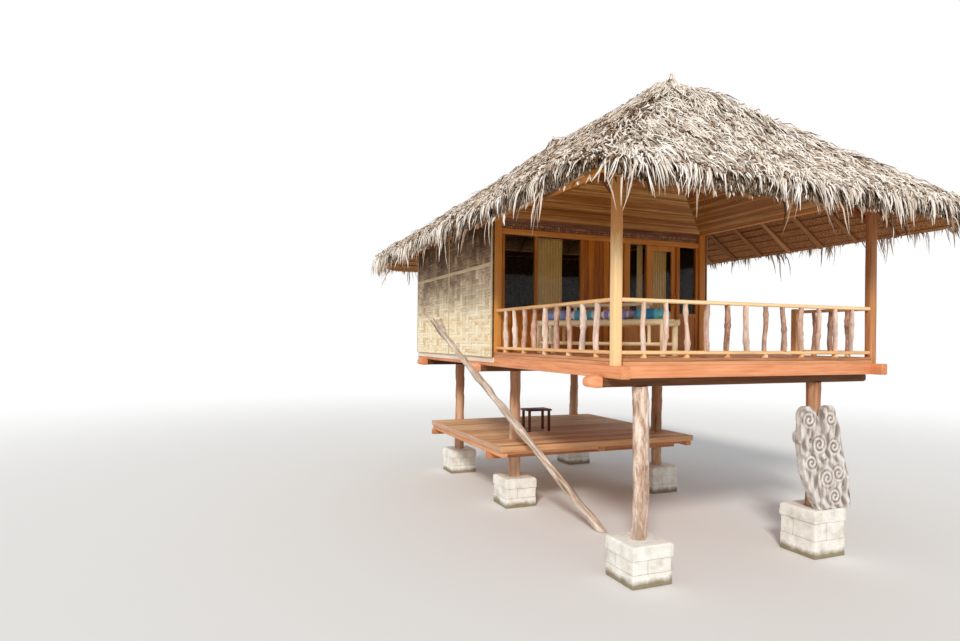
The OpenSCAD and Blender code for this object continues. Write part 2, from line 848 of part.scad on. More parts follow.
module ridge_pole() {
    color([0.5, 0.38, 0.28])
        translate([0, ridge_front, ridge_pole_z]) rotate([-90, 0, 0])
            cylinder(h = ridge_back - ridge_front, d = ridge_pole_d);
}

// How far a jack rafter stops short of the hip line, and tails short of the thatch edge
jack_gap = 150;
tail_gap = 70;
side_rafter_in = 260;
end_rafter_in = 520;
function spread(low, high, step) = let (count = max(1, round((high - low) / step)))
    [for (i = [0 : count]) low + (high - low) * i / count];

// Rafter down one side at y, from the ridge pole or the hip to its tail
module side_rafter(side, y) {
    past = max(0, (ridge_front - y) / hip_front, (y - ridge_back) / hip_back);
    lift = (ridge_pole_d - rafter_d) / 2;
    butt = lift * sin(slope_side) + (ridge_pole_d / 2 + seat) * cos(slope_side);
    x0 = past > 0 ? eave_x * past + jack_gap : butt;
    x1 = eave_x - tail_gap;
    z_at = ridge_z - (rafter_d / 2 + seat) / cos(slope_side);
    pole([side * x0, y, z_at - x0 * tan(slope_side)], [side * x1, y, z_at - x1 * tan(slope_side)], rafter_d);
}

// Rafter down one end at x, from near the ridge or the hip to its tail
module end_rafter(x, ridge_y, way, run, slope) {
    d0 = max(run * abs(x) / eave_x, rafter_d) + jack_gap;
    d1 = run - tail_gap;
    z_at = ridge_z - (rafter_d / 2 + seat) / cos(slope);
    pole([x, ridge_y + way * d0, z_at - d0 * tan(slope)], [x, ridge_y + way * d1, z_at - d1 * tan(slope)],
        rafter_d);
}

// Hip rafter below the corner of two slopes, touching both planes
module hip_rafter(side, ridge_y, way, run, slope) {
    n1 = [side * sin(slope_side), 0, cos(slope_side)];
    n2 = [0, way * sin(slope), cos(slope)];
    shift = -(rafter_d / 2 + seat) * (n1 + n2) / (1 + n1 * n2);
    reach = [side * eave_x, way * run, -roof_rise];
    start = [0, ridge_y, ridge_z] + shift;
    pole(start + 0.1 * reach, start + 0.82 * reach, rafter_d);
}

module rafters() {
    xs = spread(x_left + end_rafter_in, x_right - end_rafter_in, rafter_step);
    ys = spread(y_front + side_rafter_in, y_back - side_rafter_in, rafter_step);
    color([0.5, 0.38, 0.28]) {
        for (side = [-1, 1]) for (y = ys) side_rafter(side, y);
        for (x = xs) {
            end_rafter(x, ridge_front, -1, hip_front, slope_front);
            end_rafter(x, ridge_back, 1, hip_back, slope_back);
        }
        for (side = [-1, 1]) {
            hip_rafter(side, ridge_front, -1, hip_front, slope_front);
            hip_rafter(side, ridge_back, 1, hip_back, slope_back);
        }
    }
}

// Outline of the thatch at a share s of the way from ridge to eave, as a rounded rectangle
corner_steps = 5;
flat_half = cap_w / 2 - 10;
flat_z = ridge_z + thatch_top;
lip_z = eave_z + thatch_lip;
function ring_half(s) = flat_half + (eave_x - flat_half) * s;
function ring_front(s) = ridge_front - hip_front * s;
function ring_back(s) = ridge_back + hip_back * s;
function ring_radius(s) = flat_half / 2 + (thatch_corner_r - flat_half / 2) * s;
function thatch_ring(s, z) = let (r = ring_radius(s), hx = ring_half(s) - r,
    centres = [[hx, ring_back(s) - r], [-hx, ring_back(s) - r], [-hx, ring_front(s) + r], [hx, ring_front(s) + r]])
    [for (c = [0 : 3]) for (k = [0 : corner_steps]) let (a = 90 * c + 90 * k / corner_steps)
        [centres[c][0] + r * cos(a), centres[c][1] + r * sin(a), z]];

// Closed solid through a stack of rings of equal length, lowest first
module ring_stack(rings) {
    n = len(rings[0]);
    last = len(rings) - 1;
    walls = [for (i = [0 : last - 1]) for (k = [0 : n - 1]) let (m = (k + 1) % n)
        each [[i * n + k, (i + 1) * n + k, (i + 1) * n + m], [i * n + k, (i + 1) * n + m, i * n + m]]];
    polyhedron([for (ring = rings) each ring],
        concat(walls, [[for (k = [0 : n - 1]) k], [for (k = [n - 1 : -1 : 0]) last * n + k]]));
}

module thatch_outside() {
    levels = 6;
    slopes = [for (i = [levels : -1 : 0]) let (s = i / levels)
        thatch_ring(s, flat_z - (flat_z - lip_z) * (s + thatch_sag * s * (1 - s)))];
    ring_stack(concat([thatch_ring(1, eave_z)], slopes));
}

// Space under the four planes of the roof, carried on below the eave
module roof_space() {
    below = 200;
    dx = below / tan(slope_side);
    y0 = eave_front - below / tan(slope_front);
    y1 = eave_back + below / tan(slope_back);
    x = eave_x + dx;
    z = eave_z - below;
    polyhedron([[-x, y0, z], [x, y0, z], [x, y1, z], [-x, y1, z], [0, ridge_front, ridge_z], [0, ridge_back, ridge_z]],
        [[0, 1, 2], [0, 2, 3], [1, 0, 4], [2, 1, 4], [2, 4, 5], [3, 2, 5], [3, 5, 4], [3, 4, 0]]);
}

// One slope of the thatch, cut out above its part of the plan
module thatch_slope(region) {
    intersection() {
        difference() {
            thatch_outside();
            roof_space();
        }
        linear_extrude(ridge_z + far) polygon(region);
    }
}

// Corners of the plan carried out along the hips
reach_out = 1.5;
function hip_end(side, ridge_y, way, run) = [side * eave_x * reach_out, ridge_y + way * run * reach_out];
out_front_left = hip_end(-1, ridge_front, -1, hip_front);
out_front_right = hip_end(1, ridge_front, -1, hip_front);
out_back_left = hip_end(-1, ridge_back, 1, hip_back);
out_back_right = hip_end(1, ridge_back, 1, hip_back);
thatch_colour = [0.62, 0.56, 0.48];

module thatch_left() {
    color(thatch_colour)
        thatch_slope([[0, ridge_front], [0, ridge_back], out_back_left, out_front_left]);
}

module thatch_right() {
    color(thatch_colour)
        thatch_slope([[0, ridge_back], [0, ridge_front], out_front_right, out_back_right]);
}

module thatch_front() {
    color(thatch_colour) thatch_slope([[0, ridge_front], out_front_left, out_front_right]);
}

module thatch_back() {
    color(thatch_colour) thatch_slope([[0, ridge_back], out_back_right, out_back_left]);
}

// Ridge cap with a flat bed and a rounded back, raised to a peak at its rear end
module ridge_cap() {
    rings = 9;
    sides = 8;
    y0 = ridge_front - flat_half / 2;
    y1 = ridge_back + flat_half / 2;
    sections = [for (i = [0 : rings]) let (t = i / rings, taper = 0.55 + 0.45 * sin(180 * t),
        h = cap_h * (0.75 + 0.25 * sin(180 * t)) + cap_peak * pow(t, 8))
        [for (k = [0 : sides]) let (a = 180 * k / sides)
            [taper * cap_w / 2 * cos(a), y0 + (y1 - y0) * t, flat_z + h * sin(a)]]];
    n = sides + 1;
    walls = [for (i = [0 : rings - 1]) for (k = [0 : n - 1]) let (m = (k + 1) % n)
        each [[i * n + k, i * n + m, (i + 1) * n + m], [i * n + k, (i + 1) * n + m, (i + 1) * n + k]]];
    color([0.55, 0.5, 0.43])
        polyhedron([for (s = sections) each s],
            concat(walls, [[for (k = [n - 1 : -1 : 0]) k], [for (k = [0 : n - 1]) rings * n + k]]));
}

// Edges of the lower platform
platform_left = x_left;
platform_right = x_right - platform_in;
platform_front = y_wall - platform_out;
platform_back = girder_ys[2] - stilt_d / 2 - seat;
bearer_top = platform_z - deck_t;
bearer_z = bearer_top - bearer_h;
ledger_h = 110;
header_in = 60;

// Cross pieces: two ledgers against the stilts, and two headers under the front edge
module platform_ledgers() {
    header_y = platform_front + header_in;
    color([0.62, 0.42, 0.3]) {
        for (i = [1, 2])
            box([platform_left, girder_ys[i] - stilt_d / 2 - seat - bearer_w, bearer_z - ledger_h],
                [platform_right, girder_ys[i] - stilt_d / 2 - seat, bearer_z]);
        for (i = [0, 1])
            box([bearer_xs[i] + bearer_w / 2, header_y, bearer_z + deck_t],
                [bearer_xs[i + 1] - bearer_w / 2, header_y + bearer_w, bearer_top]);
    }
}

bearer_xs = [platform_left + fascia_t + bearer_w / 2, (platform_left + platform_right) / 2,
    platform_right - fascia_t - bearer_w / 2];

module platform_bearers() {
    color([0.7, 0.46, 0.32])
        for (x = bearer_xs)
            box([x - bearer_w / 2, platform_front + fascia_t, bearer_z], [x + bearer_w / 2, platform_back, bearer_top]);
}

module lower_platform() {
    color([0.78, 0.62, 0.5]) difference() {
        union() {
            box([platform_left, platform_front, bearer_top], [platform_right, platform_back, platform_z]);
            box([platform_left, platform_front, platform_z - fascia_h],
                [platform_right, platform_front + fascia_t, platform_z]);
            for (x = [platform_left, platform_right - fascia_t])
                box([x, platform_front, platform_z - fascia_h], [x + fascia_t, platform_back, platform_z]);
        }
        for (x = [stilts_left[1], stilts_right[1]])
            translate([x, girder_ys[1], 0]) cylinder(h = far, r = stilt_d / 2 + log_gap);
    }
}

// Small dark table on the platform
module low_table() {
    under = table_h - table_top_t;
    color([0.25, 0.17, 0.12]) translate([x_left + table_x_in, y_wall + table_y_in, platform_z]) {
        box([-table_w / 2, -table_d / 2, under], [table_w / 2, table_d / 2, table_h]);
        for (sx = [-1, 1]) for (sy = [-1, 1])
            translate([sx * (table_w / 2 - table_leg_w), sy * (table_d / 2 - table_leg_w), (under + bite) / 2])
                cube([table_leg_w, table_leg_w, under + bite], center = true);
    }
}

// Forked log that leans on the left end of the middle girder
module leaning_log() {
    along = [cos(lean_slope) * cos(lean_turn), cos(lean_slope) * sin(lean_turn), sin(lean_slope)];
    across = [sin(lean_turn), -cos(lean_turn), 0];
    up = cross(along, across);
    corner = [x_left - girder_out_left, girder_ys[1] - girder_w / 2, (girder_z + beam_z) / 2];
    top_r = 0.38 * lean_d;
    foot_at = -corner[2] / along[2];
    top_at = (lean_top - corner[2]) / along[2];
    function radius(at) = lean_d / 2 + (top_r - lean_d / 2) * (at - foot_at) / (top_at - foot_at);
    rest = corner - (radius(0) + seat) * across;
    steps = 8;
    ats = [for (i = [0 : steps]) foot_at - 200 + (top_at - foot_at + 200) * i / steps];
    fork = rest + along * (top_at - 420);
    color([0.55, 0.47, 0.4]) difference() {
        union() {
            log([for (at = ats) rest + at * along], [for (at = ats) radius(at)], 12, across, up);
            log([for (t = [0, 0.5, 1]) fork + t * [-120, -110, 330]], [top_r * 0.8, top_r * 0.7, top_r * 0.55], 8);
        }
        box([-far, -far, -far], [far, far, 0]);
    }
}

// Outline of the carved slab, from its foot up: a leaning body, two lobes beside a notch, and a side knob.
// Its corners are shares of the slab's width and height, counted from the middle of its foot.
left_lobe = [-0.3, 0.9];
right_lobe = [0.1, 0.91];
side_knob = [-0.44, 0.72];
slab_body = [[-0.12, 0], [0.44, 0], [0.48, 0.06], [0.45, 0.3], [0.35, 0.55], [0.3, 0.78], [0.22, 0.91],
    [-0.44, 0.9], [-0.46, 0.62], [-0.41, 0.38], [-0.27, 0.15]];
slab_notch = [[-0.18, 1.01], [-0.08, 0.79], [-0.03, 0.79], [0, 1.01]];
function on_slab(share) = [share[0] * slab_w, share[1] * slab_h];
lobe_r = (1 - left_lobe[1]) * slab_h;
right_lobe_r = (1 - right_lobe[1]) * slab_h;

module slab_outline() {
    difference() {
        union() {
            polygon([for (corner = slab_body) on_slab(corner)]);
            translate(on_slab(left_lobe)) circle(r = lobe_r);
            translate(on_slab(right_lobe)) circle(r = right_lobe_r);
            translate(on_slab(side_knob)) circle(r = lobe_r / 2);
        }
        polygon([for (corner = slab_notch) on_slab(corner)]);
    }
}

// Sunk scrolls on the slab's face, each a ring cut open on one side: place and radius as shares of the width
slab_scrolls = [[-0.3, 0.87, 0.1], [0.11, 0.87, 0.09], [-0.12, 0.63, 0.12], [0.17, 0.6, 0.1],
    [-0.27, 0.46, 0.1], [0.24, 0.34, 0.11], [0.02, 0.3, 0.13], [0.16, 0.12, 0.1]];
scroll_w = 22;

module slab_grooves() {
    for (scroll = slab_scrolls) let (r = scroll[2] * slab_w)
        translate(on_slab(scroll)) difference() {
            circle(r = r);
            circle(r = r - scroll_w);
            translate([0, -r]) square(r);
        }
}

// Holes right through the slab
slab_holes = [[-0.28, 0.67], [0.32, 0.2], [0, 0.47]];
slab_hole_r = 34;

// Carved slab that stands on the tall footing and leans on the stilt behind, where its right lobe touches
module carved_slab() {
    foot_y = girder_ys[0] - footing_w / 2 + slab_foot_in;
    aside = slab_aside - right_lobe[0] * slab_w;
    touch = right_lobe[1] * slab_h + sqrt(pow(right_lobe_r, 2) - pow(aside, 2));
    back_at_touch = girder_ys[0] - stilt_d / 2 - seat;
    lean = asin((back_at_touch - foot_y - slab_t) / touch);
    sunk = slab_t / 3;
    color([0.72, 0.7, 0.66]) difference() {
        translate([stilts_right[0] - slab_aside, foot_y + slab_t, tall_footing_h])
            rotate([-lean, 0, 0]) rotate([90, 0, 0]) difference() {
                union() {
                    linear_extrude(slab_t) slab_outline();
                    translate([0, -sunk, 0]) linear_extrude(slab_t) slab_outline();
                }
                translate([0, 0, slab_t - slab_relief]) linear_extrude(slab_relief + 1) slab_grooves();
                for (hole = slab_holes)
                    translate(concat(on_slab(hole), -1)) cylinder(h = slab_t + 2, r = slab_hole_r);
            }
        box([-far, -far, -far], [far, far, tall_footing_h]);
    }
}

// Bench of peeled poles that stands askew on the veranda, drawn from its corner and then turned
bench_top = deck_z + bench_z;
// Slats between the seat rails, bearers and uprights of the bench, and its cushions
bench_slats = 4;
bench_bearers = 4;
bench_uprights = 3;
cushions = 4;
cushion_gap = 12;
cushion_in = 20;

module at_bench() {
    translate([x_left + bench_x_in, y_wall - bench_y_in, 0]) rotate([0, 0, -bench_turn]) children();
}

module bench() {
    d = bench_pole_d;
    thin = bench_thin_d;
    rail_z = bench_top - d / 2;
    slat_z = bench_top - thin / 2;
    bearer_z = slat_z - thin + bite;
    low_z = deck_z + stretcher_z;
    back_z = bench_top + back_rail_h - thin / 2;
    rail_ys = [d / 2, bench_d - d / 2];
    leg_xs = [bench_leg_in, bench_l - bench_leg_in];
    slat_gap = (bench_d - 2 * d - bench_slats * thin) / (bench_slats + 1);
    bearer_pitch = (leg_xs[1] - leg_xs[0]) / (bench_bearers - 1);
    upright_pitch = (bench_l - 2 * (back_rail_in + thin)) / (bench_uprights - 1);
    color([0.85, 0.74, 0.5]) at_bench() {
        for (y = rail_ys) {
            pole([0, y, rail_z], [bench_l, y, rail_z], d);
            for (x = leg_xs) pole([x, y, deck_z], [x, y, rail_z], bench_leg_d);
            pole([leg_xs[0], y, low_z], [leg_xs[1], y, low_z], thin);
            for (x = [strut_in, bench_l - strut_in]) pole([x, y, low_z], [x, y, rail_z], bench_strut_d);
        }
        for (i = [0 : bench_bearers - 1]) let (x = leg_xs[0] + i * bearer_pitch)
            pole([x, rail_ys[0], bearer_z], [x, rail_ys[1], bearer_z], thin);
        for (i = [0 : bench_slats - 1]) let (y = d + slat_gap + thin / 2 + i * (thin + slat_gap))
            pole([leg_xs[0] / 2, y, slat_z], [bench_l - leg_xs[0] / 2, y, slat_z], thin);
        pole([back_rail_in, rail_ys[1], back_z], [bench_l - back_rail_in, rail_ys[1], back_z], thin);
        for (i = [0 : bench_uprights - 1]) let (x = back_rail_in + thin + i * upright_pitch)
            pole([x, rail_ys[1], rail_z], [x, rail_ys[1], back_z], bench_strut_d);
    }
}

// Cushions in a row on the bench, in front of its back rail
module bench_cushions() {
    w = (bench_l - 4 * cushion_in - (cushions - 1) * cushion_gap) / cushions;
    depth = bench_d - bench_pole_d / 2 - bench_strut_d / 2 - 2 * cushion_in;
    color([0.45, 0.62, 0.75]) at_bench()
        for (i = [0 : cushions - 1])
            translate([2 * cushion_in + i * (w + cushion_gap), cushion_in, bench_top + seat])
                linear_extrude(cushion_h) rounded(w, depth, cushion_h / 3);
}

module rounded(w, d, r) {
    translate([r, 0]) square([w - 2 * r, d]);
    translate([0, r]) square([w, d - 2 * r]);
    for (x = [r, w - r]) for (y = [r, d - r]) translate([x, y]) circle(r = r);
}

footings();
stilts();
girders();
side_beams();
floor_beams();
joists();
veranda_deck();
room_floor();
veranda_posts();
corner_posts();
side_plates();
cross_plates();
left_wall();
right_wall();
back_wall();
wall_battens();
front_boarding();
window_frame();
side_lights();
front_head();
front_glass();
door_leaf();
door_glass();
door_hinges();
fixed_curtains();
door_curtain();
curtain_rails();
railing_left();
railing_front();
railing_right();
veranda_ceiling();
ridge_pole();
rafters();
thatch_left();
thatch_right();
thatch_front();
thatch_back();
ridge_cap();
platform_ledgers();
platform_bearers();
lower_platform();
low_table();
leaning_log();
carved_slab();
bench();
bench_cushions();
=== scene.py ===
import bmesh
import bpy
import numpy as np
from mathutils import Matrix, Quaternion, Vector


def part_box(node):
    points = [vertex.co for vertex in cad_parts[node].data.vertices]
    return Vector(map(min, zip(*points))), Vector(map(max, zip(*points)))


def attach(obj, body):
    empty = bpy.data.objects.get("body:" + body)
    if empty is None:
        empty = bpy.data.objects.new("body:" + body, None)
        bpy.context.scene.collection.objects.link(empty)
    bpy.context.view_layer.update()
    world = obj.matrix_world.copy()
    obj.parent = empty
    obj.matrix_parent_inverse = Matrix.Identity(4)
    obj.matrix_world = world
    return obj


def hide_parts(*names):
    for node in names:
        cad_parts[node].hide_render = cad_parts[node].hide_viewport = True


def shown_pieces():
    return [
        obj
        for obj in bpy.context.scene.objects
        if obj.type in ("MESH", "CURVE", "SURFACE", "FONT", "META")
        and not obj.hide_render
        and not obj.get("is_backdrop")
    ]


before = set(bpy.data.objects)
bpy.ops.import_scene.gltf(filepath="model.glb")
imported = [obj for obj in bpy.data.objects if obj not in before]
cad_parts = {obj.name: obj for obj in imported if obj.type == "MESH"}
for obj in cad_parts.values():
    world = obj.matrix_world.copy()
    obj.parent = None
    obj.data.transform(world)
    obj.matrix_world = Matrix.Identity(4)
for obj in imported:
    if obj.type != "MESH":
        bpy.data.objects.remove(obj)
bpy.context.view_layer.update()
scene = bpy.context.scene
wayX, wayY, upZ = np.eye(3)

# Lines and levels of the plan in metres, as in the part's source. A foot is a footing's x, y and top.
plan = {"left": -2.2, "right": 2.2, "front": -3.95, "wall": -0.35, "back": 3.95, "deck": 2.79, "joist": 2.7,
        "girder": 2.43, "postTop": 5.09, "plateTop": 5.21, "post": 0.14, "girderLines": (-3.75, 0.17, 3.3),
        "feet": ((-1.7, -3.75, 0.51), (-1.58, 0.17, 0.51), (-1.5, 3.3, 0.51),
                 (1.3, -3.75, 0.66), (1.58, 0.17, 0.51), (1.5, 3.3, 0.51))}
deckZ = plan["deck"]
mergeReach = 2e-5
sharpAngle = np.radians(38)


# Values of a piece, and random numbers from its seed
def begin(values):
    return values, np.random.default_rng(values["seed"])


def shares(count):
    return np.linspace(0, 1, count)



# The camera and the lights come first
cameraPlan = {"place": (-6.6, -10.45, 3.0), "forward": (0.38, 0.925, 0.0), "roll": 0.5,
              "settings": {"lens": 24.0, "sensor_width": 36.0, "sensor_fit": "HORIZONTAL", "shift_x": -0.0026,
                           "shift_y": 0.0198, "clip_end": 200.0}}
lightPlan = {"sunWay": (0.58, 0.8, -0.64), "sky": ((0.93, 0.96, 1.0, 1.0), 0.6),
             "sun": {"energy": 2.25, "angle": np.radians(10.0), "color": (1.0, 0.965, 0.91)}}
floorPlan = {"half": 60.0, "near": 9.0, "far": 26.0, "colour": (0.83, 0.82, 0.8, 1.0)}
white = (1.0, 1.0, 1.0, 1.0)
tree, looks = None, {}


def setAll(item, **values):
    for key, value in values.items():
        setattr(item, key, value)
    return item


def addObject(name, data, **values):
    made = bpy.data.objects.new(name, data)
    scene.collection.objects.link(made)
    return setAll(made, **values)


def turnTo(way, roll=0.0):
    level = Vector(way).to_track_quat("-Z", "Y")
    return (level @ Quaternion((0.0, 0.0, 1.0), np.radians(roll))).to_euler()


# Opens a node tree. The node functions add to the one that was opened last.
def openTree(owner, clear=False):
    global tree
    owner.use_nodes = True
    tree = owner.node_tree
    if clear:
        tree.nodes.clear()
    return owner


# Inputs, by name or number, are linked where the value is a socket and set where it is a number or a
# colour
def fillInputs(node, inputs):
    for key, value in inputs.items():
        if isinstance(value, bpy.types.NodeSocket):
            tree.links.new(value, node.inputs[key])
        else:
            node.inputs[key].default_value = value


def addNode(kind, inputs=(), out=0, **values):
    made = setAll(tree.nodes.new("ShaderNode" + kind), **values)
    fillInputs(made, inputs if isinstance(inputs, dict) else dict(enumerate(inputs)))
    return made.outputs[out] if made.outputs else None


# A colour as it shows on a screen, 0 to 255, in the linear values that shaders take. Sockets stay as they
# are.
def tint(colour):
    if not isinstance(colour, tuple) or len(colour) != 3:
        return colour
    share = np.array(colour) / 255
    linear = np.where(share <= 0.04045, share / 12.92, ((share + 0.055) / 1.055) ** 2.4)
    return (*linear.tolist(), 1.0)


def blend(factor, first, second, kind="MIX"):
    return addNode("Mix", {0: factor, 6: tint(first), 7: tint(second)}, 2, data_type="RGBA", blend_type=kind)


def ramp(factor, *stops):
    made = addNode("ValToRGB", (factor,))
    elements = made.node.color_ramp.elements
    for element, (at, colour) in zip(elements, (stops[0], stops[-1])):
        element.position, element.color = at, tint(colour)
    for at, colour in stops[1:-1]:
        elements.new(at).color = tint(colour)
    return made


def noise(vector, scale, detail, roughness=0.6, distortion=0.0):
    if isinstance(scale, tuple):
        vector, scale = addNode("Mapping", {"Vector": vector, "Scale": scale}), 1.0
    return addNode("TexNoise", {"Vector": vector, "Scale": scale, "Detail": detail, "Roughness": roughness,
                                "Distortion": distortion})


def spread(value, low, high, toLow=0.0, toHigh=1.0, kind="LINEAR"):
    return addNode("MapRange", (value, low, high, toLow, toHigh), interpolation_type=kind)


def maths(kind, *values):
    return addNode("Math", values, operation=kind)


# Adds values, each times its weight, to a number
def addUp(total, *terms):
    for value, weight in terms:
        total = maths("MULTIPLY_ADD", value, weight, total)
    return total


def shownRays():
    path = addNode("LightPath").node.outputs
    some = maths("MAXIMUM", path["Is Camera Ray"], path["Is Glossy Ray"])
    return maths("MAXIMUM", some, path["Is Transmission Ray"])


def addLights():
    scene.world = openTree(bpy.data.worlds.new("softSky"), clear=True)
    inputs = (shownRays(), addNode("Background", lightPlan["sky"]), addNode("Background", (white, 1.0)))
    addNode("OutputWorld", (addNode("MixShader", inputs),))
    sun = setAll(bpy.data.lights.new("softSun", "SUN"), **lightPlan["sun"])
    addObject("softSun", sun, rotation_euler=turnTo(lightPlan["sunWay"]))


# Pale floor that fades to white with the distance from the house
def addFloor():
    p = floorPlan
    mesh = bpy.data.meshes.new("floor")
    corners = [(x * p["half"], y * p["half"], 0) for x, y in ((-1, -1), (1, -1), (1, 1), (-1, 1))]
    mesh.from_pydata(corners, [], [(0, 1, 2, 3)])
    mesh.materials.append(openTree(bpy.data.materials.new("paleFloor"), clear=True))
    reach = addNode("VectorMath", (addNode("TexCoord", (), "Object"),), "Value", operation="LENGTH")
    share = maths("MULTIPLY", spread(reach, p["near"], p["far"], kind="SMOOTHSTEP"), shownRays())
    inputs = (share, addNode("BsdfDiffuse", (p["colour"],)), addNode("Emission", (white, 1.0)))
    addNode("OutputMaterial", (addNode("MixShader", inputs),))
    addObject("floor", mesh)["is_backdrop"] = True


scene.camera = addObject("camera", setAll(bpy.data.cameras.new("camera"), **cameraPlan["settings"]),
                         location=cameraPlan["place"],
                         rotation_euler=turnTo(cameraPlan["forward"], cameraPlan["roll"]))
addLights()
addFloor()
scene.view_settings.view_transform = "Standard"
print("camera, lights and floor")


def openLook(name):
    looks[name] = openTree(bpy.data.materials.new(name))


def attribute(name, out="Fac"):
    return addNode("Attribute", (), out, attribute_name=name)


def grainAndTone():
    return attribute("grain", "Vector"), attribute("tone")


def placeAndHeight():
    place = addNode("TexCoord", (), "Object")
    return place, addNode("SeparateXYZ", (place,), "Z")


# Joins a colour and a bump, which is a height, a strength and a distance, to the shader of the open
# material
def closeLook(colour, rough, specular=0.3, bump=None, others=()):
    inputs = {"Base Color": colour, "Roughness": rough, "Specular IOR Level": specular, **dict(others)}
    if bump:
        inputs["Normal"] = addNode("Bump", dict(zip(("Height", "Strength", "Distance"), bump)))
    fillInputs(tree.nodes["Principled BSDF"], inputs)


# Wood whose fibres follow the grain attribute: fine streaks, broad stains and a tone of each piece's own,
# added up and read on a ramp from dark to light. Weathered wood greys in patches and splits in dark
# cracks.
def addWood(name, rough, dark, middle, light, fibre=(1.6, 42.0, 42.0), grey=0.0, cracks=0.0, contrast=1.0):
    openLook(name)
    grain, tone = grainAndTone()
    fine = noise(grain, fibre, 6.0, 0.65, 0.5)
    total = addUp(-0.13, (fine, 0.62), (noise(grain, (0.9, 5.0, 5.0), 3.0), 0.34), (tone, 0.3))
    reach = 0.5 / contrast
    total = spread(total, 0.48 - reach, 0.48 + reach, -0.02, 0.98)
    colour = ramp(total, (0.22, dark), (0.48, middle), (0.78, light))
    if grey:
        patch = noise(grain, (1.82, 11.7, 11.7), 5.0)
        colour = blend(spread(patch, 0.62 - grey, 0.9 - grey), colour, (168, 158, 146))
    if cracks:
        split = noise(grain, (0.9, 70.0, 70.0), 2.0, 0.5, 0.2)
        colour = blend(spread(split, 0.36, 0.3, 0.0, cracks), colour, (46, 32, 24))
    closeLook(colour, rough, bump=(fine, 0.35, 0.004))


# Roughness, then the dark, middle and light colour, then the fibres' fineness, grey, cracks and contrast
woodPlan = {
    "beamWood": (0.55, (176, 102, 62), (232, 154, 106), (250, 192, 150)),
    "shadedGirderWood": (0.65, (58, 34, 18), (100, 62, 36), (146, 98, 62)),
    # Dark girder wood: painted shade under the floor
    "joistWood": (0.7, (150, 92, 58), (214, 146, 100), (246, 190, 146)),
    "deckWood": (0.6, (146, 88, 54), (206, 142, 98), (240, 188, 144)),
    "floorWood": (0.5, (84, 52, 32), (134, 88, 56), (170, 120, 82)),
    "postWood": (0.5, (196, 134, 76), (243, 196, 134), (252, 224, 176)),
    # Darker red wood for the right post: painted shade
    "shadedRedPostWood": (0.55, (128, 74, 38), (198, 136, 88), (232, 182, 138)),
    "frameWood": (0.45, (146, 84, 26), (214, 136, 56), (242, 180, 98)),
    "boardWood": (0.45, (130, 68, 4), (200, 116, 14), (234, 158, 44)),
    "darkWood": (0.5, (40, 24, 15), (106, 66, 42), (188, 134, 96)),
    "beadWood": (0.5, (96, 58, 38), (172, 122, 88), (226, 184, 148)),
    "plateWood": (0.65, (84, 46, 24), (140, 84, 48), (182, 122, 78)),
    "platformWood": (0.65, (150, 100, 64), (214, 162, 114), (246, 208, 162)),
    "fasciaWood": (0.65, (140, 96, 72), (210, 164, 132), (244, 212, 184)),
    "branchWood": (0.6, (112, 74, 58), (206, 160, 136), (246, 224, 206), (7.0, 26.0, 26.0), 0.14, 0.45, 1.5),
    "railWood": (0.55, (208, 144, 88), (250, 206, 148), (255, 232, 192)),
    "tableWood": (0.45, (58, 34, 22), (112, 68, 44), (156, 104, 70)),
    "paleBamboo": (0.4, (222, 190, 132), (253, 234, 188), (255, 248, 224), (1.6, 34.0, 34.0)),
    "ceilingBamboo": (0.45, (88, 48, 16), (176, 114, 50), (240, 194, 124), (1.5, 60.0, 60.0)),
    "poleBamboo": (0.55, (96, 58, 28), (156, 104, 58), (204, 154, 100)),
    "footWood": (0.6, (204, 172, 142), (240, 218, 194), (253, 240, 224)),
    "battenWood": (0.6, (176, 142, 104), (228, 204, 164), (248, 232, 204)),
    "stiltWood": (0.75, (166, 130, 106), (250, 228, 210), (255, 247, 238), (4.0, 16.0, 16.0), 0.1, 0.4, 1.5),
    "redStiltWood": (0.7, (122, 80, 56), (204, 158, 124), (242, 212, 184), (1.6, 22.0, 22.0), 0.04, 0.5, 1.5),
    "barkWood": (0.8, (88, 64, 48), (190, 166, 146), (244, 230, 214), (3.0, 24.0, 24.0), 0.12, 0.8, 2.2),
}
# Woods that are multiplied by a colour above two levels, where the eave or the platform keeps the sun off
shadePlan = {"postWood": (4.05, 4.3, (0.72, 0.48, 0.3, 1.0)),
             "redStiltWood": (1.3, 2.0, (0.72, 0.6, 0.5, 1.0))}
leafStops = [(0.0, (30, 18, 10)), (0.14, (78, 54, 36)), (0.24, (140, 108, 80)), (0.38, (194, 174, 152)),
             (0.6, (234, 223, 210)), (1.0, (255, 251, 245))]
leafStreak = 0.35


def addWoods():
    for name, values in woodPlan.items():
        addWood(name, *values)
    for name, (low, high, colour) in shadePlan.items():
        openTree(looks[name])
        socket = tree.nodes["Principled BSDF"].inputs["Base Color"]
        held = socket.links[0].from_socket
        place, height = placeAndHeight()
        level = addUp(-0.4, (height, 1.0), (noise(place, (9.0, 9.0, 2.2), 4.0), 0.8))
        tree.links.new(blend(spread(level, low, high), held, colour, "MULTIPLY"), socket)
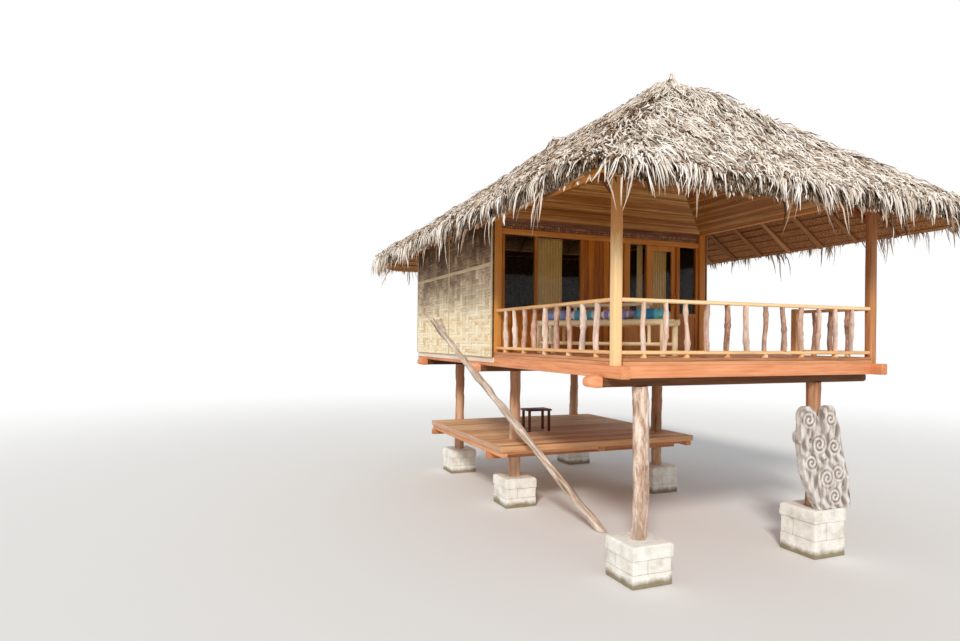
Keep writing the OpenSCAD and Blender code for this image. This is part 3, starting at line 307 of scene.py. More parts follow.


# Leaf strips: a ramp over each strip's own tone, streaked along it. The imported layers under them: dark
# streaks, painted shade between the strips above, and lighter rust-brown on the faces that look down.
def addThatchLooks():
    openLook("leafThatch")
    grain, tone = grainAndTone()
    fine = noise(grain, (6.0, 160.0, 160.0), 3.0)
    total = addUp(-0.5 * leafStreak, (tone, 1.0), (fine, leafStreak))
    closeLook(ramp(total, *leafStops), 0.75, 0.2, (fine, 0.3, 0.002))
    openLook("thatchBed")
    streak = noise(placeAndHeight()[0], (64.0, 64.0, 26.0), 5.0, 0.75)
    # The dark streaks on the faces that look up are painted shade between the strips above
    top = ramp(streak, (0.42, (28, 18, 11)), (0.52, (104, 82, 62)), (0.66, (204, 186, 166)))
    under = ramp(streak, (0.36, (92, 58, 34)), (0.5, (178, 122, 78)), (0.64, (232, 182, 130)))
    facing = addNode("SeparateXYZ", (addNode("NewGeometry", (), "Normal"),), "Z")
    closeLook(blend(maths("LESS_THAN", facing, -0.3), top, under), 0.9, 0.1, (streak, 0.8, 0.02))


# Plaited strips: cream low down, then grey-brown higher up, partly weathering and partly painted shade, and a
# dark brown painted shadow of the eave near the top, with each strip's own tone. The panel behind them is
# dark where they leave gaps.
def addMattingLooks():
    openLook("plaitedStrips")
    (grain, tone), (place, height) = grainAndTone(), placeAndHeight()
    level = addUp(-1.1, (height, 1.0), (noise(place, (1.6, 1.6, 1.28), 4.0), 2.2))
    fine = noise(grain, (3.0, 90.0, 90.0), 4.0)
    total = addUp(0.0, (fine, 0.5), (tone, 0.6))
    fresh = ramp(total, (0.15, (206, 168, 118)), (0.5, (250, 230, 190)), (0.85, (255, 246, 222)))
    agedAndShaded = ramp(total, (0.15, (96, 68, 44)), (0.5, (168, 134, 100)), (0.85, (220, 190, 152)))
    # Grey-brown above about 3.2 m: partly weathering, partly painted shade
    worn = blend(spread(level, 3.2, 4.5), fresh, agedAndShaded)
    # Dark brown above about 4.05 m: painted shadow of the eave
    closeLook(blend(spread(level, 4.05, 4.9, 0.0, 0.94), worn, (82, 56, 32)), 0.55, bump=(fine, 0.25, 0.002))
    # The panel is painted dark: it stands for the shade seen through the gaps between the strips
    openLook("mattingPanel")
    fine = noise(placeAndHeight()[0], (22.0, 22.0, 40.0), 4.0)
    closeLook(ramp(fine, (0.35, (58, 42, 30)), (0.65, (118, 92, 66))), 0.8, 0.15, (fine, 0.4, 0.004))


# Cast concrete: pale with broad stains, dark joints as the joint attribute says, pores, and a brown-green
# band by the waterline. Weathered carving: silver-grey, brown in the cuts as the depth attribute says.
def addGreyLooks():
    openLook("castConcrete")
    place, height = placeAndHeight()
    broad, fine = noise(place, 5.0, 5.0), noise(place, 60.0, 5.0, 0.7)
    pores = addNode("TexVoronoi", {"Vector": place, "Scale": 55.0}, "Distance")
    colour = ramp(addUp(0.0, (broad, 0.7), (fine, 0.3)), (0.3, (202, 195, 180)), (0.46, (235, 231, 221)),
                  (0.6, (249, 247, 241)))
    colour = blend(spread(attribute("joint"), 0.55, 0.95, 0.0, 0.55), colour, (150, 142, 126))
    wet = spread(addUp(-0.06, (height, 1.0), (broad, 0.12)), 0.125, 0.05, 0.0, 0.85)
    colour = blend(wet, colour, blend(fine, (90, 78, 44), (146, 126, 84)))
    closeLook(colour, 0.85, 0.2, (addUp(fine, (pores, 0.6)), 0.5, 0.006))
    openLook("weatheredCarving")
    place = placeAndHeight()[0]
    fine = noise(place, (60.0, 60.0, 9.0), 6.0, 0.7)
    total = addUp(0.0, (fine, 0.6), (noise(place, 4.0, 4.0), 0.4))
    colour = ramp(total, (0.36, (176, 166, 156)), (0.5, (220, 213, 207)), (0.64, (244, 240, 236)))
    cut = spread(attribute("depth"), 0.2, 1.0, 0.0, 0.85)
    closeLook(blend(cut, colour, (112, 92, 76)), 0.8, 0.2, (fine, 0.5, 0.006))


def addGlassAndSteel():
    openLook("windowGlass")
    dust = noise(placeAndHeight()[0], 3.0, 5.0)
    closeLook(ramp(dust, (0.3, (232, 236, 234)), (0.7, (248, 250, 249))), 0.03, 0.15,
              others={"Transmission Weight": 1.0, "IOR": 1.22})
    openLook("blackSteel")
    fine = noise(placeAndHeight()[0], 140.0, 4.0)
    closeLook(ramp(fine, (0.3, (34, 30, 28)), (0.7, (84, 74, 66))), 0.5, 0.5, (fine, 0.2, 0.001),
              {"Metallic": 0.7})


# Woven cloth on the piece's own UV map in metres: two crossed waves make the weave, and a third the
# stripes
def addCloth(name, first, second, stripe, weave):
    openLook(name)
    place = addNode("TexCoord", (), "UV")
    across, along = (addNode("SeparateXYZ", (place,), key) for key in "XY")
    waves = [maths("SINE", maths("MULTIPLY", value, times * 6.283))
             for value, times in ((across, weave), (along, weave), (across, stripe))]
    worn = noise(place, 9.0, 5.0)
    share = spread(waves[2], -0.25, 0.25) if stripe else spread(worn, 0.35, 0.65)
    colour = blend(addUp(0.0, (worn, 0.35)), blend(share, first, second), (120, 112, 100), "MULTIPLY")
    closeLook(colour, 0.85, 0.15, (maths("MULTIPLY", *waves[:2]), 0.25, 0.0008), {"Sheen Weight": 0.25})


addWoods()
addThatchLooks()
addMattingLooks()
addGreyLooks()
addGlassAndSteel()
print("materials")


# Smooth noise of about -1 to 1: the sum of ten sine waves that run in random directions
waveRng = np.random.default_rng(11)
waveWays = waveRng.normal(size=(10, 3))
wavePhases = waveRng.uniform(0, 2 * np.pi, 10)


def ripple(points):
    return np.sin(points @ waveWays.T + wavePhases).sum(-1) / 3.2


def unit(vectors):
    return vectors / np.maximum(np.linalg.norm(vectors, axis=-1, keepdims=True), 1e-9)


def stack(*values):
    return np.stack(np.broadcast_arrays(*values), axis=-1)


# Bell curves round three random places along each of some poles, for the knots that swell them
def knots(share, width, count, rng):
    return sum(0.09 * np.exp(-((share - at) / width) ** 2) for at in rng.uniform(0.1, 0.9, (3, count, 1)))


def readAll(items, key, width=3, kind=np.float32):
    values = np.empty(len(items) * width, kind)
    items.foreach_get(key, values)
    return values.reshape(-1, width) if width > 1 else values


def vertexPoints(mesh):
    return readAll(mesh.vertices, "co").astype(float)


def setPoints(mesh, points):
    mesh.vertices.foreach_set("co", points.astype(np.float32).ravel())
    mesh.update()


def setAttributes(mesh, **attributes):
    for name, values in attributes.items():
        kind, key = ("FLOAT", "value") if values.ndim == 1 else ("FLOAT_VECTOR", "vector")
        mesh.attributes.new(name, kind, "POINT").data.foreach_set(key, values.astype(np.float32).ravel())


def smoothFaces(mesh, smooth=True, sharp=False):
    mesh.polygons.foreach_set("use_smooth", np.full(len(mesh.polygons), smooth))
    if sharp:
        mesh.set_sharp_from_angle(angle=sharpAngle)


# Cloth coordinates in metres, one row for each vertex
def setCloth(mesh, flat):
    corners = readAll(mesh.loops, "vertex_index", 1, np.int32)
    mesh.uv_layers.new(name="cloth").data.foreach_set("uv", flat[corners].astype(np.float32).ravel())


# Quads of a grid of vertices, which may close on itself along its rows or its columns
def gridFaces(rows, columns, closeRows=False, closeColumns=False):
    row = np.arange(rows - (not closeRows))[:, None]
    column = np.arange(columns - (not closeColumns))
    below, beside = (row + 1) % rows * columns, (column + 1) % columns
    row = row * columns
    return stack(row + column, row + beside, below + beside, below + column).reshape(-1, 4)


def tubeFaces(count, rings, sides):
    base = np.arange(count)[:, None] * rings * sides
    walls = base[..., None] + gridFaces(rings, sides, closeColumns=True)
    cap = base + np.arange(sides)
    return [walls.reshape(-1, 4), cap[:, ::-1], cap + (rings - 1) * sides]


# Carries one profile along many paths at once. Each point is the path's point, plus the profile's x times
# the width across the path, plus its y times the height along the up vector, which is first made square
# to the path. Rough surfaces scale both by a smooth noise that is stretched along the path.
def sweep(paths, ups, profile, widths, heights, rng, rough=0.0, roughSize=0.05, tones=None):
    count, rings = paths.shape[:2]
    ways = unit(np.gradient(paths, axis=1))
    across = unit(np.cross(np.broadcast_to(ups, paths.shape), ways))
    ups = np.cross(ways, across)
    wide, rise = (profile[:, axis] * np.broadcast_to(sizes, (count, rings))[..., None]
                  for axis, sizes in ((0, widths), (1, heights)))
    steps = np.linalg.norm(np.diff(paths, axis=1), axis=-1)
    along = np.concatenate([np.zeros((count, 1)), np.cumsum(steps, axis=1)], axis=1)
    grain = stack(along[..., None], wide, rise) + rng.uniform(-9, 9, (count, 1, 1, 3))
    if rough:
        scale = 1 + rough * ripple(grain * [0.3, 1.0, 1.0] / roughSize)
        wide, rise = wide * scale, rise * scale
    points = paths[:, :, None] + across[:, :, None] * wide[..., None] + ups[:, :, None] * rise[..., None]
    tones = rng.uniform(0, 1, count) if tones is None else tones
    tone = np.broadcast_to(tones.reshape(count, -1)[:, :, None], wide.shape)
    return {"points": points.reshape(-1, 3), "grain": grain.reshape(-1, 3), "tone": tone.reshape(-1),
            "faces": tubeFaces(count, rings, len(profile))}


def meshFrom(name, parts, smooth=True):
    starts = np.cumsum([0] + [len(part["points"]) for part in parts[:-1]])
    faces = [face + start for part, start in zip(parts, starts) for face in part["faces"]]
    sizes = np.concatenate([np.full(len(face), face.shape[1]) for face in faces])
    corners = np.concatenate([face.ravel() for face in faces])
    held = {key: np.concatenate([part[key] for part in parts]) for key in parts[0] if key != "faces"}
    points = held.pop("points")
    mesh = bpy.data.meshes.new(name)
    mesh.vertices.add(len(points))
    mesh.vertices.foreach_set("co", points.astype(np.float32).ravel())
    mesh.loops.add(len(corners))
    mesh.loops.foreach_set("vertex_index", corners.astype(np.int32))
    mesh.polygons.add(len(sizes))
    mesh.polygons.foreach_set("loop_start", (np.cumsum(sizes) - sizes).astype(np.int32))
    mesh.update(calc_edges=True)
    setAttributes(mesh, **held)
    smoothFaces(mesh, smooth, sharp=smooth)
    return mesh


# A piece from parts or from a ready mesh, on its body, with its look and the nodes that it
# replaces
def addPiece(name, parts, look, slotName, *replaced, body="house", smooth=True):
    mesh = meshFrom(name, parts, smooth) if isinstance(parts, list) else parts
    made = addObject(name, mesh)
    mesh.materials.clear()
    mesh.materials.append(looks[look])
    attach(made, body)
    if replaced:
        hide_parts(*replaced)
    return made


# Gives the polygons that a test of their centres picks a further look
def paintPart(made, look, test):
    mesh = made.data
    mesh.materials.append(looks[look])
    held = readAll(mesh.polygons, "material_index", 1, np.int32)
    chosen = np.where(test(*readAll(mesh.polygons, "center").T), len(mesh.materials) - 1, held)
    mesh.polygons.foreach_set("material_index", chosen.astype(np.int32))


def paintNodes(look, *nodes):
    for node in nodes:
        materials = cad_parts[node].data.materials
        materials.clear()
        materials.append(looks[look])


def circleProfile(sides):
    turn = 2 * np.pi * np.arange(sides) / sides
    return stack(np.cos(turn), np.sin(turn))


# Straight bars between points: a rectangle with cut corners, carried from end to end and drawn in a
# little at both ends, with a slight random wander of each ring
def bars(starts, ends, ups, width, height, rng, bevel=0.003, rings=5, wander=0.001, draw=None):
    starts, ends, ups = (np.atleast_2d(np.asarray(points, float)) for points in (starts, ends, ups))
    count = len(starts)
    width, height = (np.broadcast_to(np.asarray(size, float), (count,))[:, None] for size in (width, height))
    cutX, cutY = 0.5 - bevel / width.mean(), 0.5 - bevel / height.mean()
    corner = np.array([[cutX, -0.5], [0.5, -cutY], [0.5, cutY], [cutX, 0.5]])
    run, ups = (ends - starts)[:, None], ups[:, None]
    length = np.linalg.norm(run, axis=-1)
    inset = (bevel if draw is None else draw) / length
    inner = inset + (1 - 2 * inset) * shares(rings)
    share = np.concatenate([np.zeros((count, 1)), inner, np.ones((count, 1))], axis=1)
    sway = rng.normal(0, wander, (count, rings + 2, 1)) * np.cross(run, ups) / length[..., None]
    cut = np.zeros(rings + 2)
    cut[[0, -1]] = 2 * bevel
    return sweep(starts[:, None] + run * share[..., None] + sway, ups, np.concatenate([corner, -corner]),
                 width - cut, height - cut, rng)


# Labels the separate solids of a mesh: each vertex takes the lowest label among its neighbours until none
# changes
def islands(mesh):
    one, two = readAll(mesh.edges, "vertices", 2, np.int32).T
    label = np.arange(len(mesh.vertices))
    while True:
        fresh = label.copy()
        np.minimum.at(fresh, one, label[two])
        np.minimum.at(fresh, two, label[one])
        fresh = fresh[fresh]
        if (fresh == label).all():
            return np.unique(label, return_inverse=True)[1]
        label = fresh


# Copy of a CAD node's mesh with merged corners and, where a width is given, with softened edges
def mergedCopy(node, name, bevel=None):
    mesh = bpy.data.meshes.new(name)
    form = bmesh.new()
    form.from_mesh(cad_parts[node].data)
    bmesh.ops.remove_doubles(form, verts=form.verts, dist=mergeReach)
    if bevel is not None:
        bmesh.ops.dissolve_limit(form, angle_limit=0.01, verts=form.verts, edges=form.edges)
    if bevel:
        edges = [edge for edge in form.edges if edge.is_manifold and edge.calc_face_angle(0.0) > 0.6]
        bmesh.ops.bevel(form, geom=edges, offset=bevel, segments=2, profile=0.5, affect="EDGES",
                        clamp_overlap=True)
    form.to_mesh(mesh)
    form.free()
    return mesh


# Look, slot, width of the softened edges, seed, and the grain's axis where it isn't each solid's longest
# side
dressPlan = {
    "side_beams": ("beamWood", "beam_wood", 0.009, 21),
    "floor_beams": ("beamWood", "beam_wood", 0.007, 22),
    "joists": ("joistWood", "joist_wood", 0.003, 23),
    "corner_posts": ("frameWood", "frame_wood", 0.006, 42),
    "side_plates": ("frameWood", "plate_wood", 0.006, 43),
    "cross_plates": ("plateWood", "plate_wood", 0.006, 44),
    "platform_ledgers": ("joistWood", "platform_wood", 0.005, 52),
    "platform_bearers": ("joistWood", "platform_wood", 0.005, 53),
    "wall_battens": ("battenWood", "batten", 0.003, 62),
    "window_frame": ("frameWood", "frame_wood", 0.004, 72),
    "side_lights": ("frameWood", "frame_wood", 0.004, 73, 2),
    "front_head": ("frameWood", "carved_wood", 0.002, 74),
    "door_leaf": ("frameWood", "frame_wood", 0.003, 75, 2),
    "curtain_rails": ("darkWood", "carved_wood", 0.002, 76),
    "veranda_ceiling": ("plateWood", "ceiling_bamboo", 0.0, 92),
    "low_table": ("tableWood", "table_wood", 0.005, 171),
}


def dress(node, name=None, body="house"):
    name = name or node + "_wood"
    look, slotName, bevel, seed, *axis = dressPlan[node]
    rng = np.random.default_rng(seed)
    mesh = mergedCopy(node, name, bevel)
    label, points = islands(mesh), vertexPoints(mesh)
    count = label.max() + 1
    low, high = np.full((count, 3), 1e9), np.full((count, 3), -1e9)
    np.minimum.at(low, label, points)
    np.maximum.at(high, label, points)
    longest = np.full(count, *axis) if axis else np.argmax(high - low, axis=1)
    order = (longest[:, None] + np.arange(3)) % 3
    grain = np.take_along_axis(points, order[label], axis=1) + rng.uniform(-9, 9, (count, 3))[label]
    setAttributes(mesh, grain=grain, tone=rng.uniform(0, 1, count)[label])
    smoothFaces(mesh, sharp=True)
    return addPiece(name, mesh, look, slotName, node, body=body)


# Footings: a square ring with rounded corners, scaled at each height by the block's outline, so that the
# courses, their joints and the chamfered cap stand in the surface. A smooth noise wears it.
footingPlan = {"half": 0.29, "band": 0.296, "cap": 0.304, "capHeight": 0.17, "chamfer": 0.025, "joint": 0.004,
               "around": 96, "corner": 0.05, "step": 0.024, "wear": 0.0035, "uprights": (0.64, 0.38)}


def squareRing(count, corner):
    turn = 4 * np.arange(count) / count
    side = np.floor(turn).astype(int)
    share, one = 2 * (turn - side) - 1, np.ones(count)
    ring = stack(np.choose(side, [one, -share, -one, share]), np.choose(side, [share, one, -share, -one]))
    inner = np.clip(ring, corner - 1, 1 - corner)
    return inner + corner * unit(ring - inner)


def addFootings():
    p, parts = footingPlan, []
    half, joint, cap, chamfer, count = p["half"], p["joint"], p["cap"], p["chamfer"], p["around"]
    ringX, ringY = squareRing(count, p["corner"]).T
    for x, y, top in plan["feet"]:
        capZ = top - p["capHeight"]
        course = capZ / 2
        outline = np.array([
            (0.0, half), (0.012, p["band"]), (course - joint, p["band"]), (course, half - joint),
            (course + joint, half), (capZ - joint, half), (capZ - 0.001, half - joint), (capZ + 0.003, cap),
            (top - chamfer, cap), (top, cap - chamfer)])
        levels = np.unique(np.concatenate([outline[:, 0], np.arange(0.02, top - 0.01, p["step"])]))
        halves = np.concatenate([np.interp(levels, *outline.T), [0.2, 0.1, 0.004]])[:, None]
        levels = np.concatenate([levels, [top + 0.001] * 3])[:, None]
        heights = levels + 1e-4 * np.arange(len(levels))[:, None]
        points = stack(ringX * halves + x, ringY * halves + y, heights)
        wear = p["wear"] * (ripple(points / 0.045) + 0.6 * ripple(points / 0.018))
        wear = wear * np.clip((halves - 0.01) / 0.1, 0, 1) * np.clip(levels / 0.02, 0, 1)
        points += unit(stack(ringX, ringY, 0.0)) * wear[..., None]
        # Bed joints run round at two levels, and each course has an upright joint on every side
        bed = np.exp(-(np.minimum(np.abs(levels - course), np.abs(levels - capZ)) / 0.006) ** 2)
        away = 4 * np.arange(count) / count % 1 - np.where(levels < course, *p["uprights"])
        upright = np.exp(-(away / 0.02) ** 2) * (levels < capZ)
        parts.append({"points": points.reshape(-1, 3), "joint": np.maximum(bed, upright).ravel(),
                      "faces": tubeFaces(1, len(levels), count)})
    addPiece("footing_blocks", parts, "castConcrete", "concrete", "footings")


# Stilts: a circle carried up a slightly bowed line, its radius varied by knots and a rough noise
stiltPlan = {"radius": 0.1, "bows": (0.034, 0, 0, 0, 0, 0), "rough": 0.05, "sides": 28, "rings": 60,
             "seed": 8}


def stiltPart(x, y, foot, bow, rng):
    p = stiltPlan
    share = shares(p["rings"])
    bulge = np.sin(np.pi * share)
    sway = 0.006 * np.sin(5 * share + rng.uniform(0, 6)) * bulge
    path = stack(x + bow * bulge + sway, y, foot + (plan["girder"] - foot) * share)[None]
    swell = 0.6 * knots(share, 0.02, 1, rng)
    radii = p["radius"] * (1 + 0.04 * np.sin(4 * share + rng.uniform(0, 6)) + swell)
    return sweep(path, wayY, circleProfile(p["sides"]), radii, radii, rng, p["rough"], 0.035)


def addStilts():
    p, rng = begin(stiltPlan)
    parts = [stiltPart(*foot, bow, rng) for foot, bow in zip(plan["feet"], p["bows"])]
    addPiece("front_left_stilt", parts[:1], "stiltWood", "round_log", "stilts")
    addPiece("red_stilts", parts[1:], "redStiltWood", "round_log", "stilts")


# Girders: bars whose left ends are hewn to a blunt point. The long body is painted dark as shade under the
# floor, and the ends left of the beams take the lighter beam wood as painted sunlight.
girderPlan = {"left": -2.5, "right": 2.3, "middle": 2.4875, "width": 0.15, "height": 0.115, "seed": 13}


def addGirders():
    p, rng = begin(girderPlan)
    lines = np.array(plan["girderLines"])
    starts = stack(p["left"], lines, p["middle"])
    part = bars(starts, starts * [0, 1, 1] + p["right"] * wayX, upZ, p["width"], p["height"], rng,
                bevel=0.014, rings=60, draw=0.04)
    hewn = part["points"]
    tip, head = (np.clip((edge - hewn[:, :1]) / reach, 0, 1) for edge, reach in ((-2.4, 0.1), (-2.29, 0.03)))
    middle = stack(hewn[:, 0], lines[np.argmin(np.abs(hewn[:, 1:2] - lines), axis=1)], p["middle"])
    swell = (1 + head * [0.0, 0.12, 0.32]) * (1 - 0.3 * tip)
    part["points"] = middle + (hewn - middle) * swell + head * [0, 0, 0.012]
    made = addPiece("hewn_girders", [part], "shadedGirderWood", "beam_wood", "girders")
    paintPart(made, "beamWood", lambda x, y, z: x < -2.28)


addFootings()
addStilts()
addGirders()
for node in ("side_beams", "floor_beams", "joists"):
    dress(node)
print("footings, stilts and floor frame")


# Middles and width of the equal shares that a stretch falls into, each about a pitch wide
def shareOut(low, high, pitch):
    count = max(1, round((high - low) / pitch))
    return low + (np.arange(count) + 0.5) * (high - low) / count, (high - low) / count


# Boards side by side across x, from y to y, with narrow gaps
def boardRow(low, high, y0, y1, pitch, rng, gap=0.004):
    middles, width = shareOut(low, high, pitch)
    starts = stack(middles, y0, deckPlan["middle"] + rng.normal(0, 0.0006, len(middles)))
    return bars(starts, starts * [1, 0, 1] + y1 * wayY, upZ, width - gap, deckPlan["thick"], rng,
                bevel=0.0035, wander=0.0005)


# Deck and floor boards run from front to back. The outermost strip is cut where the posts pass through
# it.
deckPlan = {"pitch": 0.133, "edgePitch": 0.14, "thick": 0.038, "middle": deckZ - 0.0195, "edge": 2.27,
            "inner": 2.131, "nosing": 0.03, "overhang": 0.07, "seed": 31}


def addDecks():
    p, rng = begin(deckPlan)
    inner, edge, half = p["inner"], p["edge"], plan["post"] / 2 + 0.001
    front, wall, back = plan["front"] - p["overhang"], plan["wall"], plan["back"]
    for kind, node, y0, y1, edge0, edge1 in (
            ("deck", "veranda_deck", front + 0.034, wall, plan["front"], wall),
            ("floor", "room_floor", wall + 0.001, back + 0.069, wall, back)):
        parts = [boardRow(-inner, inner, y0, y1, p["pitch"], rng)]
        parts += [boardRow(*side, edge0 + half, edge1 - half, p["edgePitch"], rng, 0.002)
                  for side in ((-edge, -inner), (inner, edge))]
        if kind == "deck":
            end = np.array([inner, front + p["nosing"] / 2, p["middle"]])
            parts.append(bars(end * [-1, 1, 1], end, upZ, p["nosing"], p["thick"], rng, 0.004, 14))
        addPiece(kind + "_boards", parts, kind + "Wood", kind + "_wood", node)


# Veranda posts: a square with broad round corners carried upright, hewn a little uneven by a smooth noise
postPlan = {"width": 0.118, "corner": 0.42, "rings": 34, "sides": 28, "rough": 0.02, "seed": 41,
            "brace": (0.06, 0.064), "braceRun": (0.27, 0.3)}


def addPosts():
    p, rng = begin(postPlan)
    share = shares(p["rings"])
    lines = np.array([(plan["left"], plan["front"]), (plan["right"], plan["front"])])
    paths = stack(lines[:, :1], lines[:, 1:], plan["joist"] + (plan["postTop"] - plan["joist"]) * share)
    size = p["width"] * (1 + 0.012 * np.sin(7 * share + rng.uniform(0, 6, (2, 1))))
    # The right post gets a low tone and the darker red wood: painted shade, as it stands in the shade
    part = sweep(paths, wayY, squareRing(p["sides"], p["corner"]) / 2, size, size, rng, p["rough"], 0.06,
                 np.array([0.8, 0.25]))
    made = addPiece("hewn_posts", [part], "postWood", "post_wood", "veranda_posts")
    paintPart(made, "shadedRedPostWood", lambda x, y, z: x > 0)
    # Knee braces rise at 45 degrees from each post into the plates, one inward and one to the back
    starts, ends = [], []
    for x, y in lines:
        ways = -np.sign(x) * wayX, wayY
        for way, top, run in zip(ways, (plan["plateTop"], plan["postTop"]), p["braceRun"]):
            for reach, held in ((0.03, starts), (0.068 + run, ends)):
                held.append(np.array([x, y, top - 0.373]) + (way + upZ) * reach)
    ups = np.cross(np.array(ends) - starts, [wayY, wayX] * 2)
    part = bars(starts, ends, ups, *p["brace"], rng, bevel=0.005)
    addPiece("knee_braces", [part], "plateWood", "post_wood", "veranda_posts")


addDecks()
addPosts()
for node in ("corner_posts", "side_plates", "cross_plates"):
    dress(node)
print("decks, posts and plates")


# Platform boards run from side to side. Two rows are cut round the stilts that pass through them.
platformPlan = {"left": -2.2, "right": 1.85, "front": -0.6, "back": 3.1947, "top": 1.19, "thick": 0.038,
                "fascia": 0.1, "fasciaThick": 0.03, "stilt": 1.58, "hole": 0.117, "rows": (5, 24), "seed": 51}


def addPlatform():
    p, rng = begin(platformPlan)
    hole, stilt, holeY = p["hole"], p["stilt"], plan["girderLines"][1]
    thick, half = p["fasciaThick"], p["fasciaThick"] / 2
    low, high, first = p["left"] + thick, p["right"] - thick, p["front"] + thick
    edges = [*np.linspace(first, holeY - hole, p["rows"][0] + 1), holeY,
             *np.linspace(holeY + hole, p["back"], p["rows"][1] + 1)]
    spans = [(low, -stilt - hole), (hole - stilt, stilt - hole), (stilt + hole, high)]
    x0, x1, y0, y1 = np.array([(*span, *ys) for ys in zip(edges[:-1], edges[1:])
                               for span in (spans if holeY in ys else [(low, high)])]).T
    starts = stack(x0, (y0 + y1) / 2, p["top"] - 0.0195 + rng.normal(0, 0.0006, len(x0)))
    parts = [bars(starts, starts * [0, 1, 1] + x1[:, None] * wayX, upZ, y1 - y0 - 0.006, p["thick"], rng,
                  bevel=0.0035, wander=0.0008)]
    sizes = {"width": thick, "height": p["fascia"], "rng": rng, "bevel": 0.004, "rings": 12}
    middle = p["top"] - p["fascia"] / 2
    parts.append(bars(*([p[side], p["front"] + half, middle] for side in ("left", "right")), upZ, **sizes))
    addPiece("platform_boards", parts, "platformWood", "platform_wood", "lower_platform")
    starts = stack(np.array([p["left"] + half, p["right"] - half]), first + 0.002, middle)
    part = bars(starts, starts * [1, 0, 1] + p["back"] * wayY, upZ, **sizes)
    addPiece("platform_sides", [part], "fasciaWood", "platform_wood", "lower_platform")


addPlatform()
for node in ("platform_ledgers", "platform_bearers"):
    dress(node)
print("lower platform")


# Matting in a three-by-three twill: level strips cross broad upright ones. Where a strip crosses another
# it lies over or under it by its lift, as the sum of row and column says, three after three.
mattingPlan = {"pitchAlong": 0.16, "pitchUp": 0.056, "rest": 0.0045, "lift": 0.0032, "thick": 0.0026,
               "slips": 0.05, "seed": 61}


def addMatting(node, origin, way, outward, length):
    p, low, high = mattingPlan, plan["joist"], plan["postTop"]
    rng = np.random.default_rng(p["seed"] + len(node))
    origin, way, outward = (np.array(values, float) for values in (origin, way, outward))
    across, wide = shareOut(0, length, p["pitchAlong"])
    heights, tall = shareOut(low, high, p["pitchUp"])
    columns, rows = len(across), len(heights)
    over = ((np.arange(rows)[:, None] + np.arange(columns)) // 3 % 2) * 2 - 1
    over = np.where(rng.uniform(size=over.shape) < p["slips"], -over, over)
    flat = origin + way * across[:, None] + upZ * heights[:, None, None]
    lies, stands = (flat + outward * (p["rest"] + lift * over)[..., None] for lift in (p["lift"], -p["lift"]))
    lies = lies + upZ * (rng.normal(0, 0.002, (rows, 1, 1)) + rng.normal(0, 0.001, (rows, columns, 1)))
    slide = rng.normal(0, 0.005, (columns, 1, 1)) + rng.normal(0, 0.002, (columns, rows, 1))
    stands = np.swapaxes(stands, 0, 1) + way * slide
    profile = np.array([[-0.5, 0.0], [0.5, 0.0], [0.0, 1.0]])
    parts = []
    for paths, end, pitch in ((lies, way * wide, p["pitchUp"]), (stands, upZ * tall, p["pitchAlong"])):
        end = end / 2
        paths = np.concatenate([paths[:, :1] - end, paths, paths[:, -1:] + end], axis=1)
        width = pitch * rng.uniform(0.8, 0.97, (len(paths), 1))
        tones = rng.normal(0.5, 0.22, (len(paths), 1)) + rng.normal(0, 0.16, paths.shape[:2])
        parts.append(sweep(paths, outward, profile, width, p["thick"], rng, tones=np.clip(tones, 0, 1)))
    addPiece(node + "_plait", parts, "plaitedStrips", "matting", smooth=False)


def addWalls():
    y0, y1 = plan["wall"] - 0.07, plan["back"] + 0.07
    addMatting("left_wall", (-2.3, y1, 0), -wayY, -wayX, y1 - y0)
    addMatting("right_wall", (2.3, y0, 0), wayY, wayX, y1 - y0)
    addMatting("back_wall", (2.3, y1 + 0.03, 0), -wayX, wayY, 4.6)
    paintNodes("mattingPanel", "left_wall", "right_wall", "back_wall")
    dress("wall_battens")
    # Pale boards on the outer faces of the beams, right under the matting
    rng = np.random.default_rng(63)
    x, z, behind = 2.268, 2.65, y1 + 0.0075
    starts = [(-x, y0, z), (x, y0, z), (-2.26, behind, z)]
    ends = [(-x, y1, z), (x, y1, z), (2.26, behind, z)]
    part = bars(starts, ends, upZ, 0.014, 0.092, rng, rings=20, wander=0.0003)
    addPiece("foot_boards", [part], "footWood", "batten")
    # Edge battens over the front ends of the side walls
    edges = stack(np.array([-2.3105, 2.3105]), y0 + 0.028, plan["joist"] + 0.002)
    tops = edges * [1, 1, 0] + (plan["postTop"] - 0.002) * upZ
    part = bars(edges, tops, wayX, 0.052, 0.01, rng, 0.002, 20)
    addPiece("edge_battens", [part], "battenWood", "batten")


addWalls()
print("matting walls")


# Front wall: planks side by side for the boarding, the joinery with softened edges, and two rows of low
# four-sided beads on the band
frontPlan = {"planks": ((-2.06, -0.55, 0.675, 0.126), (-0.48, 0.39, 2.04, 0.109)), "plank": 0.038,
             "band": deckZ + 2.137, "beadRows": (0.026, 0.072), "beadPitch": 0.052, "seed": 71}


